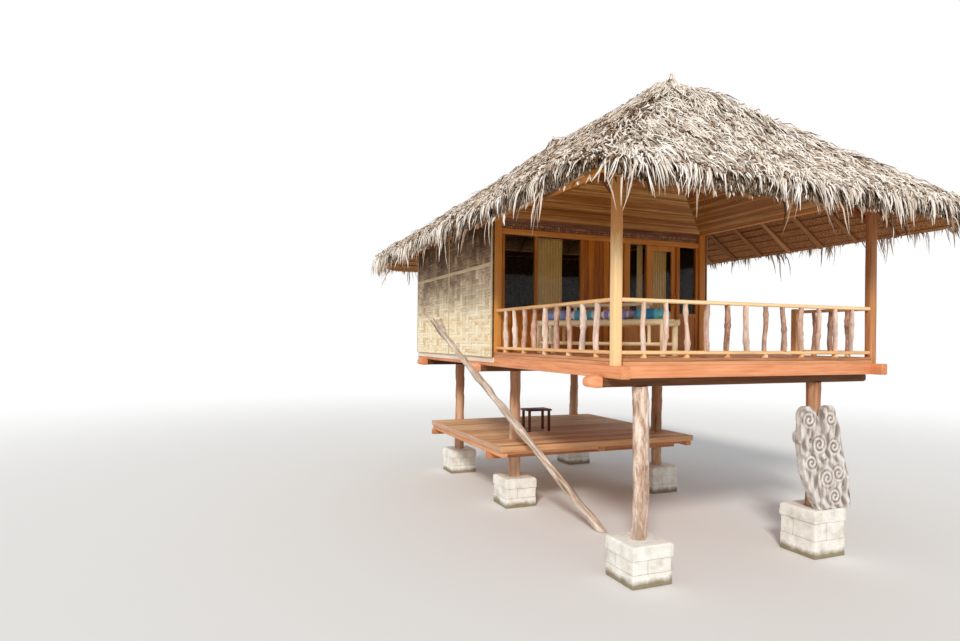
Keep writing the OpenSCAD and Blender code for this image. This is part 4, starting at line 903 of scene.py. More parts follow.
def addFrontWall():
    p, rng = begin(frontPlan)
    parts = []
    for low, high, top, pitch in p["planks"]:
        middles, width = shareOut(low, high, pitch)
        foot = stack(middles, plan["wall"] + rng.normal(0, 0.0008, len(middles)), deckZ + 0.0005)
        parts.append(bars(foot, foot + upZ * (top - 0.001), -wayY, width - 0.001, p["plank"], rng,
                          0.006, 4, 0.0004, 0.001))
    addPiece("plank_boarding", parts, "boardWood", "board_wood", "front_boarding")
    dress("window_frame")
    dress("side_lights")
    paintPart(dress("front_head"), "darkWood", lambda x, y, z: z > p["band"])
    across = np.arange(-2.09, 2.1, p["beadPitch"])
    rows = np.concatenate([stack(across, -0.3685, p["band"] + high) for high in p["beadRows"]])
    paths = rows[:, None] + wayY * np.array([[0.004], [-0.003], [-0.007]])
    size = np.array([0.04, 0.034, 0.008]) * rng.uniform(0.75, 1.1, (len(rows), 1))
    bead = np.array([[-0.5, -0.5], [0.5, -0.5], [0.5, 0.5], [-0.5, 0.5]])
    part = sweep(paths, upZ, bead, size, size * 0.8, rng)
    addPiece("band_beads", [part], "beadWood", "carved_wood", smooth=False)
    paintPart(dress("door_leaf", body="door"), "blackSteel", lambda x, y, z: (y > -0.3105) & (x < 1.02))
    paintNodes("windowGlass", "front_glass", "door_glass")
    paintNodes("blackSteel", "door_hinges")
    dress("curtain_rails")


addFrontWall()


# Curtains: a grid that runs straight down, its depth a sum of two sine waves across the width whose
# height grows a little towards the hem. The flat width is the length of that wavy line. Each row of the
# table holds the edges, the foot and head over the deck, the place in y, the number of folds and their
# phase.
curtainPlan = {
    "depth": 0.013, "across": 150, "down": 26, "thick": 0.0015, "stripe": 14.0, "weave": 420.0,
    "colours": ((254, 198, 104), (255, 226, 156)),
    "window_curtain": (-1.455, -0.875, 0.705, 2.03, -0.278, 11, 0.4),
    "light_curtain": (0.75, 0.88, 0.705, 2.03, -0.278, 3, 1.3),
    "leaf_curtain": (1.047, 1.421, 0.725, 1.963, -0.2945, 7, 2.1)}


def addCurtain(name, body, node):
    p = curtainPlan
    x0, x1, low, high, middle, folds, phase = p[name]
    u, v = shares(p["across"]), shares(p["down"])[:, None]
    wave = 0.8 * np.sin(2 * np.pi * folds * u + phase + 0.5 * np.sin(3 * v + phase))
    wave = wave + 0.2 * np.sin(2 * np.pi * folds * 0.37 * u + 2 * phase)
    points = stack(x0 + (x1 - x0) * (u + 0.004 * np.sin(9 * v + 20 * u)),
                   middle + p["depth"] * (0.75 + 0.25 * v) * wave, deckZ + high + (low - high) * v)
    faces = gridFaces(p["down"], p["across"])[:, [0, 3, 2, 1]]
    mesh = meshFrom(name, [{"points": points.reshape(-1, 3), "faces": [faces]}])
    width = float(np.linalg.norm(np.diff(points, axis=1), axis=-1).sum(1).mean())
    height = (deckZ + high) - (deckZ + low)
    setCloth(mesh, stack(u * width, (1 - v) * height).reshape(-1, 2))
    made = addPiece(name, mesh, "ochreCurtain", "curtain", node, body=body)
    setAll(made.modifiers.new("thickness", "SOLIDIFY"), thickness=p["thick"], offset=0.0)
    print("curtain", name, "flat", round(width, 3), round(height, 3))


addCloth("ochreCurtain", *curtainPlan["colours"], curtainPlan["stripe"], curtainPlan["weave"])
addCurtain("window_curtain", "house", "fixed_curtains")
addCurtain("light_curtain", "house", "fixed_curtains")
addCurtain("leaf_curtain", "door", "door_curtain")
print("front wall")


# Railings: two rails, small wedge blocks under the lower one and knotty branches between them. A branch
# is a circle carried along the wavy line of the part's source, its radius swelled by knots and a rough
# noise.
railPlan = {"top": 0.73, "rail": 0.048, "railWidth": 0.07, "gap": 0.042, "branch": 0.039, "wave": 0.013,
            "step": 0.335, "tenon": 0.016, "newel": 0.11, "newelTop": 0.75, "sides": 14, "rings": 22}


def addRailing(name, origin, way, length, seed, newel=False):
    p = railPlan
    rng = np.random.default_rng(80 + seed)
    origin, side = np.array(origin, float), np.cross(upZ, way)
    full = length + (0.005 if newel else 0.0)
    count = max(1, round(full / p["step"]) - 1)
    step = full / (count + 1)
    rails = []
    for low in (p["top"] - p["rail"], p["gap"]):
        start = origin + upZ * (low + p["rail"] / 2) - way * p["tenon"]
        rails.append(bars(start, start + way * (length + 2 * p["tenon"]), upZ, p["railWidth"], p["rail"], rng,
                          0.011, 24, 0.0022, 0.001))
    numbers = np.arange(1, count + 1)[:, None]
    share = shares(p["rings"])
    low, high = p["gap"] + p["rail"] - 0.005, p["top"] - p["rail"] + 0.005
    turns, twist = (np.radians(angle * (numbers + seed)) for angle in (137, 71))
    along = numbers * step + p["wave"] * np.sin(1.3 * np.pi * share + turns)
    off = p["wave"] / 2 * np.sin(np.radians(250) * share + twist)
    paths = origin + way * along[..., None] + side * off[..., None]
    paths = paths + upZ * (low + (high - low) * share)[:, None]
    swell = 1.0
    for _ in range(3):
        at = rng.uniform(0.15, 0.85, (count, 1))
        swell = swell + rng.uniform(0.06, 0.3, (count, 1)) * np.exp(-((share - at) / 0.05) ** 2)
    taper = 1 - 0.1 * share + 0.05 * np.sin(7 * share + turns)
    radii = p["branch"] * rng.uniform(0.84, 1.1, (count, 1)) * taper * swell
    branches = sweep(paths, way, circleProfile(p["sides"]), radii, radii * 0.86, rng, 0.1, 0.03)
    foot = origin + way * numbers[::2] * step
    wedge = np.array([[-0.5, 0.0], [0.5, 0.0], [0.28, 1.0], [-0.28, 1.0]])
    ends = np.stack([foot - side * 0.032, foot + side * 0.032], axis=1)
    rails.append(sweep(ends, upZ, wedge, 0.062, p["gap"] + 0.001, rng))
    if newel:
        start = origin + way * (length + p["newel"] / 2)
        rails.append(bars(start, start + upZ * p["newelTop"], way, p["newel"], p["newel"], rng, bevel=0.008))
    addPiece(name + "_rails", rails, "railWood", "branch", "railing_" + name)
    addPiece(name + "_branches", [branches], "branchWood", "branch", "railing_" + name)


half = plan["post"] / 2
addRailing("left", (plan["left"], plan["front"] + half, deckZ), wayY, 3.46, 20)
addRailing("front", (plan["left"] + half, plan["front"], deckZ), wayX, 4.26, 0)
addRailing("right", (plan["right"], plan["front"] + half, deckZ), wayY, 1.185, 40, True)
print("railings")


# Ceiling: split canes side by side on the underside of the four planes, each parallel to its base edge
ceilingPlan = {"half": 2.1397, "front": -3.8897, "back": -0.4103, "foot": plan["postTop"] + 0.0247,
               "rise": 0.9, "pitch": 0.034, "cane": 0.033, "thick": 0.008, "seed": 91}
splitCane = np.array([[-0.5, 0.0], [0.5, 0.0], [0.42, 0.6], [0.15, 1.0], [-0.15, 1.0], [-0.42, 0.6]])


def addCeiling():
    p, rng = begin(ceilingPlan)
    parts = []
    x, y0, y1, z = p["half"], p["front"], p["back"], p["foot"]
    corners = np.array([[-x, y0, z], [x, y0, z], [x, y1, z], [-x, y1, z]])
    peak = np.array([0.0, (y0 + y1) / 2, z + p["rise"]])
    for a, b in zip(corners, np.roll(corners, -1, axis=0)):
        run = np.linalg.norm(peak - (a + b) / 2)
        count = int(run / p["pitch"]) - 1
        share = ((np.arange(count) + 0.6) * p["pitch"] / run)[:, None]
        down = unit(np.cross(b - a, peak - a))
        down = down * -np.sign(down[2])
        inset = 0.006 * unit(b - a)
        starts, across = a + (peak - a) * share + inset, (b - a) * (1 - share) - 2 * inset
        paths = starts[:, None] + across[:, None] * shares(5)[:, None]
        paths = paths + down * rng.uniform(0, 0.0012, (count, 5, 1))
        runs = np.repeat(rng.normal(0, 0.22, count // 3 + 1), 3)[:count]
        tones = np.clip(0.5 + runs + rng.normal(0, 0.2, count), 0, 1)[:, None]
        tones = tones + rng.normal(0, 0.04, (count, 5))
        cane = p["cane"] * rng.uniform(0.78, 1.0, (count, 1))
        parts.append(sweep(paths, down, splitCane, cane, p["thick"], rng, tones=tones))
    addPiece("ceiling_canes", parts, "ceilingBamboo", "ceiling_bamboo")
    dress("veranda_ceiling", "ceiling_backing")


# Poles of a CAD node made again as peeled poles. Each solid's ends are the extremes along its longest
# direction.
def addPoles(node, name, look, radius, seed, bend):
    rng = np.random.default_rng(seed)
    mesh = mergedCopy(node, name)
    label, points = islands(mesh), vertexPoints(mesh)
    bpy.data.meshes.remove(mesh)
    starts, ends = [], []
    for number in range(label.max() + 1):
        some = points[label == number]
        centre = some.mean(0)
        along = (some - centre) @ np.linalg.svd(some - centre, full_matrices=False)[2][0]
        starts.append(some[along < along.min() + 0.03].mean(0))
        ends.append(some[along > along.max() - 0.03].mean(0))
    starts, ends = np.array(starts), np.array(ends)
    share = shares(12)[:, None]
    paths = starts[:, None] + (ends - starts)[:, None] * share
    sway = rng.normal(0, bend, (len(starts), 1, 3)) * np.sin(np.pi * share) * [1, 1, 0]
    swell = radius * (1 + 0.03 * np.sin(9 * share[:, 0] + rng.uniform(0, 6, (len(starts), 1))))
    part = sweep(paths + sway, upZ, circleProfile(14), swell, swell, rng, 0.035, 0.04)
    addPiece(name, [part], look, "plate_wood", node)


addCeiling()
addPoles("rafters", "rafter_poles", "poleBamboo", 0.0385, 93, 0.004)
addPoles("ridge_pole", "ridge_log", "plateWood", 0.058, 94, 0.0)
print("ceiling and rafters")


# Roof form, the same rounded rectangle that grows from ridge to eave in the part's source. q from 0 to 8
# runs once round it, a corner arc then a straight each, and s from 0 at the ridge to 1 at the eave.
eaveZ, flatZ = (corner.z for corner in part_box("thatch_left"))
roofPlan = {"eaveX": 3.18, "ridgeFront": -2.13, "ridgeBack": 1.69, "hipFront": 2.8, "hipBack": 3.24,
            "flatHalf": 0.135, "corner": 0.62, "sag": 0.1, "lip": 0.24, "reach": 0.12}


def ringSizes(s):
    p = roofPlan
    radius = p["flatHalf"] / 2 + (p["corner"] - p["flatHalf"] / 2) * s
    halfX = p["flatHalf"] + (p["eaveX"] - p["flatHalf"]) * s - radius
    front, back = p["ridgeFront"] - p["hipFront"] * s, p["ridgeBack"] + p["hipBack"] * s
    return radius, halfX, front + radius, back - radius


def roofPoint(q, s):
    radius, halfX, front, back = ringSizes(s)
    corner, part = np.floor(q / 2).astype(int) % 4, q % 2
    ends = [(np.where((at == 0) | (at == 3), halfX, -halfX), np.where(at < 2, back, front))
            for at in (corner, (corner + 1) % 4)]
    slide, angle = np.clip(part - 1, 0, 1), np.pi / 2 * (corner + np.minimum(part, 1))
    x, y = (first + (second - first) * slide + radius * turn
            for first, second, turn in zip(*ends, (np.cos(angle), np.sin(angle))))
    return stack(x, y, flatZ - (flatZ - eaveZ - roofPlan["lip"]) * (s + roofPlan["sag"] * s * (1 - s)))


# Down-slope, outward and sideways directions of the roof form, from small steps in s and q
def roofFrame(q, s):
    here = roofPoint(q, s)
    down = unit(roofPoint(q, s + 0.01) - here)
    step = np.where(q % 1 < 0.98, 0.01, -0.01)
    out = unit(np.cross(down, (roofPoint(q + step, s) - here) * np.sign(step)[..., None]))
    return down, out, np.cross(out, down)


# q for a share of the way along the ring at s between two limits, so that every metre is as likely, and
# the way's length
def ringPlace(s, share, low, high):
    radius, halfX, front, back = ringSizes(s)
    arc = np.pi / 2 * radius
    lengths = stack(*(arc, 2 * halfX, arc, back - front) * 2)
    ends = np.concatenate([np.zeros((len(s), 1)), np.cumsum(lengths, axis=-1)], axis=1)
    lowAt, highAt = (ends[:, int(at)] + at % 1 * lengths[:, int(at) % 8] for at in (low, high))
    at = lowAt + (highAt - lowAt) * share
    index = np.clip((at[:, None] >= ends[:, 1:]).sum(1), 0, 7)
    rows = np.arange(len(s))
    return index + np.clip((at - ends[rows, index]) / lengths[rows, index], 0, 0.999), highAt - lowAt


def eaveLength(low, high):
    return ringPlace(np.ones(1), np.zeros(1), low, high)[1][0]


# Draws in what lies beyond the eave's line along each axis: a distance d becomes reach times one minus
# exp(-d / reach)
def keepNear(paths):
    p, drawn = roofPlan, []
    limits = ((-p["eaveX"], p["eaveX"]), (p["ridgeFront"] - p["hipFront"], p["ridgeBack"] + p["hipBack"]))
    for axis, (low, high) in enumerate(limits):
        kept = np.clip(paths[..., axis], low, high)
        beyond = paths[..., axis] - kept
        drawn.append(kept + np.sign(beyond) * p["reach"] * (1 - np.exp(-np.abs(beyond) / p["reach"])))
    return stack(*drawn, paths[..., 2])


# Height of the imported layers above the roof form. It swells along each hip, most near the ridge, and
# falls off with the distance from the hip as a bell curve.
layerPlan = {"rest": 0.012, "spread": 0.8, "hips": {6.5: 1.0, 4.5: 0.1, 2.5: 0.2, 0.5: 0.2},
             "along": (0.0, 0.1, 0.2, 0.32, 0.6, 0.9, 1.0), "high": (0.03, 0.12, 0.17, 0.13, 0.08, 0.02, 0.0),
             "rows": 34, "under": -0.03}


def raised(q, s):
    p = layerPlan
    here = roofPoint(q, s)[..., :2]
    total = 0.0
    for hip, share in p["hips"].items():
        away = np.linalg.norm(here - roofPoint(np.full(q.shape, hip), s)[..., :2], axis=-1)
        total = total + share * np.exp(-(away / p["spread"]) ** 2)
    return p["rest"] + np.interp(s, p["along"], p["high"]) * total


# The layers as a closed skin: a grid over q and s at that height, whose last rows turn back under the
# form
def addLayers():
    rows = layerPlan["rows"]
    around = np.concatenate([number + shares(27 if number % 2 else 7)[:-1] for number in range(8)])
    along = np.concatenate([shares(rows), [1.0, 0.5, 0.0]])
    s, q = (grid.ravel() for grid in np.meshgrid(along, around, indexing="ij"))
    height = raised(q, s)
    height[rows * len(around):] = layerPlan["under"]
    points = roofPoint(q, s) + roofFrame(q, s)[1] * height[:, None]
    faces = gridFaces(len(along), len(around), True, True)[:, [0, 3, 2, 1]]
    addPiece("thatch_layers", [{"points": points, "faces": [faces]}], "thatchBed", "thatch")


# slopeShade darkens the left slope's strips, painted shade, and lightens the front's a little, painted light
leafPlan = {"perSquare": 424, "inTuft": 5, "width": 0.0255, "length": 0.43, "lift": 0.055, "tuftTurn": 0.22,
            "turn": 0.24, "drift": 0.2, "slopeShade": {"left": 0.16, "front": -0.03}, "dark": 0.09, "seed": 101}
leafProfile = np.array([[-0.5, -0.1], [0.5, -0.1], [0.0, 0.16]])


def stripWidths(width, most, shape, count, rng):
    return width * rng.uniform(0.5, most, (count, 1)) * np.array(shape)


def rolledUps(out, across, roll, rng):
    roll = rng.normal(0, roll, (len(out), 1))
    return (out * np.cos(roll) + across * np.sin(roll))[:, None]


def someDark(tones, share, rng):
    return np.where(rng.uniform(size=len(tones)) < share, tones * rng.uniform(0.2, 0.5, len(tones)), tones)


def sweepStrips(paths, ups, widths, rng, tones=None):
    return sweep(paths, ups, leafProfile, widths, widths * 1.2, rng, tones=tones)


# Leaf strips on one slope, in tufts. Roots are spread evenly over the area and sunk in the layers below.
# A strip heads down the line of fall, turned by a random angle and a slow drift, and arches before its
# tip comes down.
def leafStrips(low, high, area, rng, slopeShade):
    p = leafPlan
    tufts = int(area * p["perSquare"] / p["inTuft"])
    table = np.linspace(0.0, 1.0, 60)
    width = ringPlace(table, np.zeros(60), low, high)[1]
    chance = np.cumsum(np.maximum(width, 0.02) * (1 + 0.5 * np.exp(-table / 0.12)))
    s = np.interp(rng.uniform(0, 1, tufts), chance / chance[-1], table)
    q = ringPlace(s, rng.uniform(0, 1, tufts), low, high)[0]
    down, out, side = roofFrame(q, s)
    base = unit(0.85 * unit(out * out[:, 2:] - upZ) + 0.15 * down)
    slope = np.linalg.norm(roofPoint(q, np.ones(tufts)) - roofPoint(q, np.zeros(tufts)), axis=-1)
    pick = np.repeat(np.arange(tufts), p["inTuft"])
    count = len(pick)
    turn = rng.normal(0, p["tuftTurn"], tufts) + p["drift"] * ripple(roofPoint(q, s) / 0.5)
    turn = (turn[pick] + rng.normal(0, p["turn"], count))[:, None]
    height, root = raised(q, s)[pick], roofPoint(q, s)[pick]
    q, s, out, base, slope = q[pick], s[pick], out[pick], base[pick], slope[pick]
    across = np.cross(out, base)
    heading = base * np.cos(turn) + across * np.sin(turn)
    root = root + out * height[:, None]
    root = root + across * rng.normal(0, 0.04, (count, 1)) + base * rng.normal(0, 0.07, (count, 1))
    room = np.maximum((1.01 - s) * slope, 0.12)
    length = np.minimum(p["length"] * rng.uniform(0.5, 1.3, count), room)[:, None]
    share = np.array([0.0, 0.55, 1.0])
    rise = raised(q, np.clip(s + length[:, 0] / slope, 0, 1)) - height
    lift = p["lift"] * rng.uniform(0.15, 1.5, (count, 1)) * np.array([0.0, 1.0, 0.6])
    lift = lift - 0.01 + rise[:, None] * share
    bend = length * rng.normal(0, 0.16, (count, 1)) * share ** 2
    paths = keepNear(root[:, None] + heading[:, None] * (length * share)[..., None]
                     + out[:, None] * lift[..., None] + across[:, None] * bend[..., None])
    ups = rolledUps(out, across, 0.5, rng)
    widths = stripWidths(p["width"], 1.35, (0.85, 1.0, 0.14), count, rng)
    own = rng.normal(0.64 - slopeShade, 0.13, tufts)[pick] + rng.normal(0, 0.15, count)
    own = someDark(own, p["dark"], rng)[:, None]
    # Strips darken towards the root: partly sun-bleached tips, partly painted shade under the strips above
    tones = np.clip(own * (0.7 + 0.3 * np.minimum(share * 1.5, 1.0)), 0.01, 1)
    return sweepStrips(paths, ups, widths, rng, tones)


# Loose strips over the eave, a row on the edge and a row on the lip below it, as drop says. A strip's
# direction turns from down the slope towards straight down as it goes on, so that it hangs in a curve.
fringePlan = {"perMetre": (114, 76), "lengths": ((0.2, 0.4), (0.06, 0.16)), "width": 0.024, "long": 0.06,
              "longest": 0.6, "clump": 0.12, "lipShade": 0.3, "dark": 0.12, "seed": 131}


def fringeStrips(low, high, rng, drop):
    p = fringePlan
    lengths = p["lengths"][drop]
    count = int(eaveLength(low, high) * p["perMetre"][drop])
    s = np.full(count, 0.995) if drop else rng.uniform(0.93, 1.0, count)
    q = ringPlace(s, rng.uniform(0, 1, count), low, high)[0]
    down, out, side = roofFrame(q, s)
    flat = unit(out * [1, 1, 0])
    root = roofPoint(q, s) - out * 0.006
    root = root - upZ * (drop * rng.uniform(0.15, 1, count))[:, None] * roofPlan["lip"]
    clump = ripple(roofPoint(q, np.ones(count)) / p["clump"])
    # Cells of about a hand's width share a heading, so that strips hang in locks
    cell = np.floor(q * 60 + 2.3 * np.sin(q * 37)).astype(int)
    sway, lock = np.sin(cell * 12.9898) * 0.22, 1 + 0.35 * np.sin(cell * 78.233)
    length = rng.uniform(*lengths, count) * np.clip(lock + 0.5 * clump, 0.35, 1.8)
    longer = rng.uniform(size=count) < p["long"] * np.clip(1 + 2.4 * clump, 0.0, 4)
    length = np.where(longer, rng.uniform(lengths[1], p["longest"], count), length)
    share = shares(4)
    start = np.radians(rng.normal(30 + 36 * drop, 9, count))[:, None]
    turn = np.radians(rng.uniform(30, 70, count))[:, None] * (1 - 0.5 * drop)
    pitch = np.minimum(start + turn * share ** 0.8, np.radians(94))
    heading = flat[:, None] * np.cos(pitch)[..., None] - upZ * np.sin(pitch)[..., None]
    swing = (rng.normal(0, 0.13, count) + sway)[:, None] * (0.5 + share)
    swing = swing + 0.14 * np.sin(5 * share + rng.uniform(0, 6, (count, 1)))
    steps = unit(heading + side[:, None] * swing[..., None])[:, :-1] * (length / 3)[:, None, None]
    paths = root[:, None] + np.concatenate([np.zeros((count, 1, 3)), np.cumsum(steps, axis=1)], axis=1)
    ups = rolledUps(out, side, 0.7, rng)
    widths = stripWidths(p["width"], 1.35, (0.85, 1.0, 0.75, 0.12), count, rng)
    # Lip strips are darker: painted shade under the eave's edge
    own = np.clip(rng.normal(0.7 - p["lipShade"] * drop, 0.19, count), 0.05, 1.0)
    # Strips darken towards the root: partly sun-bleached tips, partly painted shade under the strips above
    tones = someDark(own, p["dark"], rng)[:, None] * np.array([0.8, 0.97, 1.0, 1.0])
    return sweepStrips(keepNear(paths), ups, widths, rng, tones)


# The four slopes: area, then stretches of q, as corners are shared out at their middles
slopePlan = {"back": (12.6, (0.5, 2.5)), "left": (26.4, (2.5, 4.5)), "front": (11.4, (4.5, 6.5)),
             "right": (26.4, (6.5, 8.0), (0.0, 0.5))}


def addThatch():
    for number, (slope, (area, *stretches)) in enumerate(slopePlan.items()):
        rng = np.random.default_rng(leafPlan["seed"] + number)
        whole = sum(eaveLength(*stretch) for stretch in stretches)
        # Painted shade or light for this slope
        slopeShade = leafPlan["slopeShade"].get(slope, 0.0)
        parts = [leafStrips(*stretch, area * eaveLength(*stretch) / whole, rng, slopeShade)
                 for stretch in stretches]
        addPiece(slope + "_leaf_strips", parts, "leafThatch", "thatch", smooth=False)
        rng = np.random.default_rng(fringePlan["seed"] + number)
        parts = [fringeStrips(*stretch, rng, drop) for stretch in stretches for drop in (0, 1)]
        addPiece(slope + "_eave_fringe", parts, "leafThatch", "thatch", smooth=False)
    paintNodes("thatchBed", "thatch_left", "thatch_right", "thatch_front", "thatch_back", "ridge_cap")


# Ridge: strips bent over the crest and down both sides, strips that lie along it, and a sheaf drawn up to
# the peak at the back end
ridgePlan = {"over": 900, "along": 200, "sheaf": 170, "fan": 200, "width": 0.03, "crest": 0.13, "peak": 0.22,
             "fall": 0.76, "seed": 151}
fifths = shares(5)


# Height of the crest over the flat top: a low swell along it, and a peak at its back end
def crestHeight(t, peak=1.0):
    return ridgePlan["crest"] * (0.75 + 0.25 * np.sin(np.pi * t)) + ridgePlan["peak"] * t ** 8 * peak


# Strips round one end of the ridge, which rise from a circle to the tip
def sheafStrips(yEnd, count, rng, rise, wide):
    turn = rng.uniform(0, 2 * np.pi, (count, 1))
    radius = rng.uniform(*wide, (count, 1)) * (1 - fifths) ** 1.3 + rng.uniform(0.0, 0.03, (count, 1))
    top = rise * rng.uniform(0.72, 1.0, (count, 1))
    foot = flatZ + 0.02 - 0.74 * np.maximum(rng.uniform(0.9, 1.05, (count, 1)) * radius - 0.1, 0)
    y = yEnd - 0.03 * fifths + radius * np.sin(turn)
    paths = stack(radius * np.cos(turn), y, foot + top * fifths ** 1.5)
    widths = stripWidths(ridgePlan["width"], 1.2, (0.9, 1.0, 0.9, 0.6, 0.12), count, rng)
    tones = np.clip(rng.normal(0.62, 0.2, count), 0.05, 1)
    return sweepStrips(paths, stack(np.cos(turn), np.sin(turn), 0.4), widths, rng, tones)


# Strips that fan out from the end of the ridge down the slope below it
def fanStrips(low, high, count, rng):
    q = (rng.uniform(low, high, (count, 1)) + rng.normal(0, 0.3, (count, 1)) * fifths) % 8
    s = rng.uniform(0.0, 0.04, (count, 1)) + rng.uniform(0.07, 0.22, (count, 1)) * fifths
    out = roofFrame(q.ravel(), s.ravel())[1].reshape(count, 5, 3)
    lift = raised(q, s) + 0.05 * np.exp(-(s / 0.045) ** 2)
    lift = lift + rng.uniform(0.005, 0.05, (count, 1)) * (0.4 + 0.6 * fifths)
    widths = stripWidths(ridgePlan["width"], 1.25, (0.7, 1.0, 0.95, 0.65, 0.12), count, rng)
    tones = np.clip(rng.normal(0.58, 0.2, count), 0.05, 1)
    return sweepStrips(roofPoint(q, s) + out * lift[..., None], upZ, widths, rng, tones)


def overStrips(front, back, count, rng):
    t = rng.uniform(0, 1, (count, 1))
    side = np.where(rng.uniform(size=(count, 1)) < 0.5, -1.0, 1.0)
    top = flatZ + crestHeight(t, rng.uniform(0.3, 1, (count, 1))) + 0.006
    x = side * (rng.uniform(0.28, 0.6, (count, 1)) * fifths ** 0.85 - 0.03)
    fall = np.clip((np.abs(x) - 0.03) / 0.17, 0, 1) ** 1.5
    cover = flatZ + 0.04 - ridgePlan["fall"] * np.maximum(np.abs(x) - roofPlan["flatHalf"], 0)
    z = top * (1 - fall) + np.minimum(cover, top) * fall + rng.uniform(0, 0.025, (count, 1)) * fifths
    paths = stack(x, front + (back - front) * t + rng.normal(0, 0.14, (count, 1)) * fifths, z)
    widths = stripWidths(ridgePlan["width"], 1.3, (0.8, 1.0, 1.0, 0.65, 0.12), count, rng)
    # Strips on the left side are darker, painted shade, and each darkens towards its start on the crest,
    # partly painted shade
    own = rng.normal(0.58, 0.2, (count, 1)) - 0.16 * (side < 0)
    tones = np.clip(own * (0.75 + 0.25 * fifths), 0.04, 1)
    return sweepStrips(paths, unit(stack(side * 0.5, 0.0, 1.0)), widths, rng, tones)


def alongStrips(front, back, count, rng):
    t = rng.uniform(0, 0.92, (count, 1))
    y = front + (back - front) * t + rng.uniform(0.25, 0.6, (count, 1)) * fifths
    u = np.clip((y - front) / (back - front), 0, 1)
    ring = rng.uniform(-1.2, 1.2, (count, 1)) + rng.normal(0, 0.3, (count, 1)) * fifths
    wide = 0.145 * (0.55 + 0.45 * np.sin(np.pi * u))
    lift = 1.1 + 0.12 * fifths
    z = flatZ + crestHeight(u) * np.cos(ring) * lift
    paths = stack(wide * np.sin(ring) * lift, np.minimum(y, back + 0.05), z)
    widths = stripWidths(ridgePlan["width"], 1.2, (0.6, 1.0, 0.9, 0.6, 0.12), count, rng)
    return sweepStrips(paths, stack(np.sin(ring[:, :1]), 0.0, np.cos(ring[:, :1])), widths, rng)


def addRidge():
    p, rng = begin(ridgePlan)
    front, back = roofPlan["ridgeFront"] - 0.06, roofPlan["ridgeBack"] + 0.06
    parts = [overStrips(front, back, p["over"], rng), alongStrips(front, back, p["along"], rng),
             sheafStrips(back - 0.05, p["sheaf"], rng, 0.3, (0.2, 0.46)),
             sheafStrips(front + 0.04, p["sheaf"] // 2, rng, 0.23, (0.08, 0.2)),
             fanStrips(3.6, 7.6, int(p["fan"] * 1.6), rng), fanStrips(-0.4, 3.4, p["fan"], rng)]
    addPiece("ridge_bundles", parts, "leafThatch", "thatch", smooth=False)


# Thin laths under the overhang, half sunk in the thatch's underside, parallel to the eave
lathPlan = {"first": 0.73, "last": 0.995, "step": 0.042, "inset": 0.16, "rise": 2.24, "width": 0.026,
            "height": 0.016, "seed": 161}


def addLaths():
    p, rng = begin(lathPlan)
    r, inset, parts = roofPlan, p["inset"], []
    for share in np.arange(p["first"], p["last"], p["step"]):
        x, z = r["eaveX"] * share, eaveZ + p["rise"] * (1 - share) - 0.004
        y0, y1 = r["ridgeFront"] - r["hipFront"] * share, r["ridgeBack"] + r["hipBack"] * share
        starts = [(-x, y1 - inset, z), (x, y0 + inset, z), (-x + inset, y0, z), (x - inset, y1, z)]
        ends = [(-x, y0 + inset, z), (x, y1 - inset, z), (x - inset, y0, z), (-x + inset, y1, z)]
        parts.append(bars(starts, ends, upZ, p["width"], p["height"], rng, rings=14, wander=0.004))
    addPiece("eave_laths", parts, "poleBamboo", "plate_wood")


addLayers()
addThatch()
addRidge()
addLaths()
print("thatch")


def evaluated(made):
    return bpy.data.meshes.new_from_object(made.evaluated_get(bpy.context.evaluated_depsgraph_get()))


def addRemesh(made, voxel):
    setAll(made.modifiers.new("even", "REMESH"), mode="VOXEL", voxel_size=voxel)


# Copy of a CAD node as one even skin of small faces, for a rough surface
def evenSkin(node, name, voxel):
    made = addObject("skin", mergedCopy(node, name))
    addRemesh(made, voxel)
    setAll(made.modifiers.new("soften", "SMOOTH"), factor=0.5, iterations=2)
    mesh = evaluated(made)
    bpy.data.objects.remove(made)
    return mesh


# Moves a skin's points out along their normals by a push, though not below a floor, and adds it as a
# piece
def addRoughened(name, mesh, push, floorZ, look, slotName, node, **attributes):
    points = vertexPoints(mesh) + readAll(mesh.vertices, "normal").astype(float) * push[:, None]
    points[:, 2] = np.maximum(points[:, 2], floorZ)
    setPoints(mesh, points)
    setAttributes(mesh, **attributes)
    smoothFaces(mesh)
    addPiece(name, mesh, look, slotName, node)


# Leaning log: the CAD form with long ridges of bark along it and small knots
logPlan = {"way": (-0.4218, 0.5598, 0.7133), "voxel": 0.016, "ridges": 0.004, "knots": 0.011}


def addLeaningLog():
    p = logPlan
    mesh = evenSkin("leaning_log", "bark_log", p["voxel"])
    points, way = vertexPoints(mesh), unit(np.array(p["way"]))
    along, side = points @ way, np.cross(way, upZ)
    flat = points - along[:, None] * way
    grain = stack(along, flat @ unit(side), flat @ unit(np.cross(way, side)))
    push = p["ridges"] * ripple(grain * [4.0, 70.0, 70.0]) + p["knots"] * ripple(grain * [9.0, 16.0, 16.0])
    addRoughened("bark_log", mesh, push, 0.0, "barkWood", "grey_log", "leaning_log", grain=grain,
                 tone=np.full(len(points), 0.5))


# Carved slab: relief on the front face is the sum of spirals round the sunk scrolls and of slanting waves
# between them. Both are functions of the place on the face, width across and height up. A scroll holds
# its place as shares of the slab's width and height, and its radius.
slabPlan = {"foot": (1.27, -3.91, 0.66), "lean": 2.19, "width": 1.0, "height": 1.45, "voxel": 0.0125,
            "relief": 0.017, "pitch": 0.064,
            "scrolls": ((-0.3, 0.87, 0.1), (0.11, 0.87, 0.09), (-0.12, 0.63, 0.12), (0.17, 0.6, 0.1),
                        (-0.27, 0.46, 0.1), (0.24, 0.34, 0.11), (0.02, 0.3, 0.13), (0.16, 0.12, 0.1))}


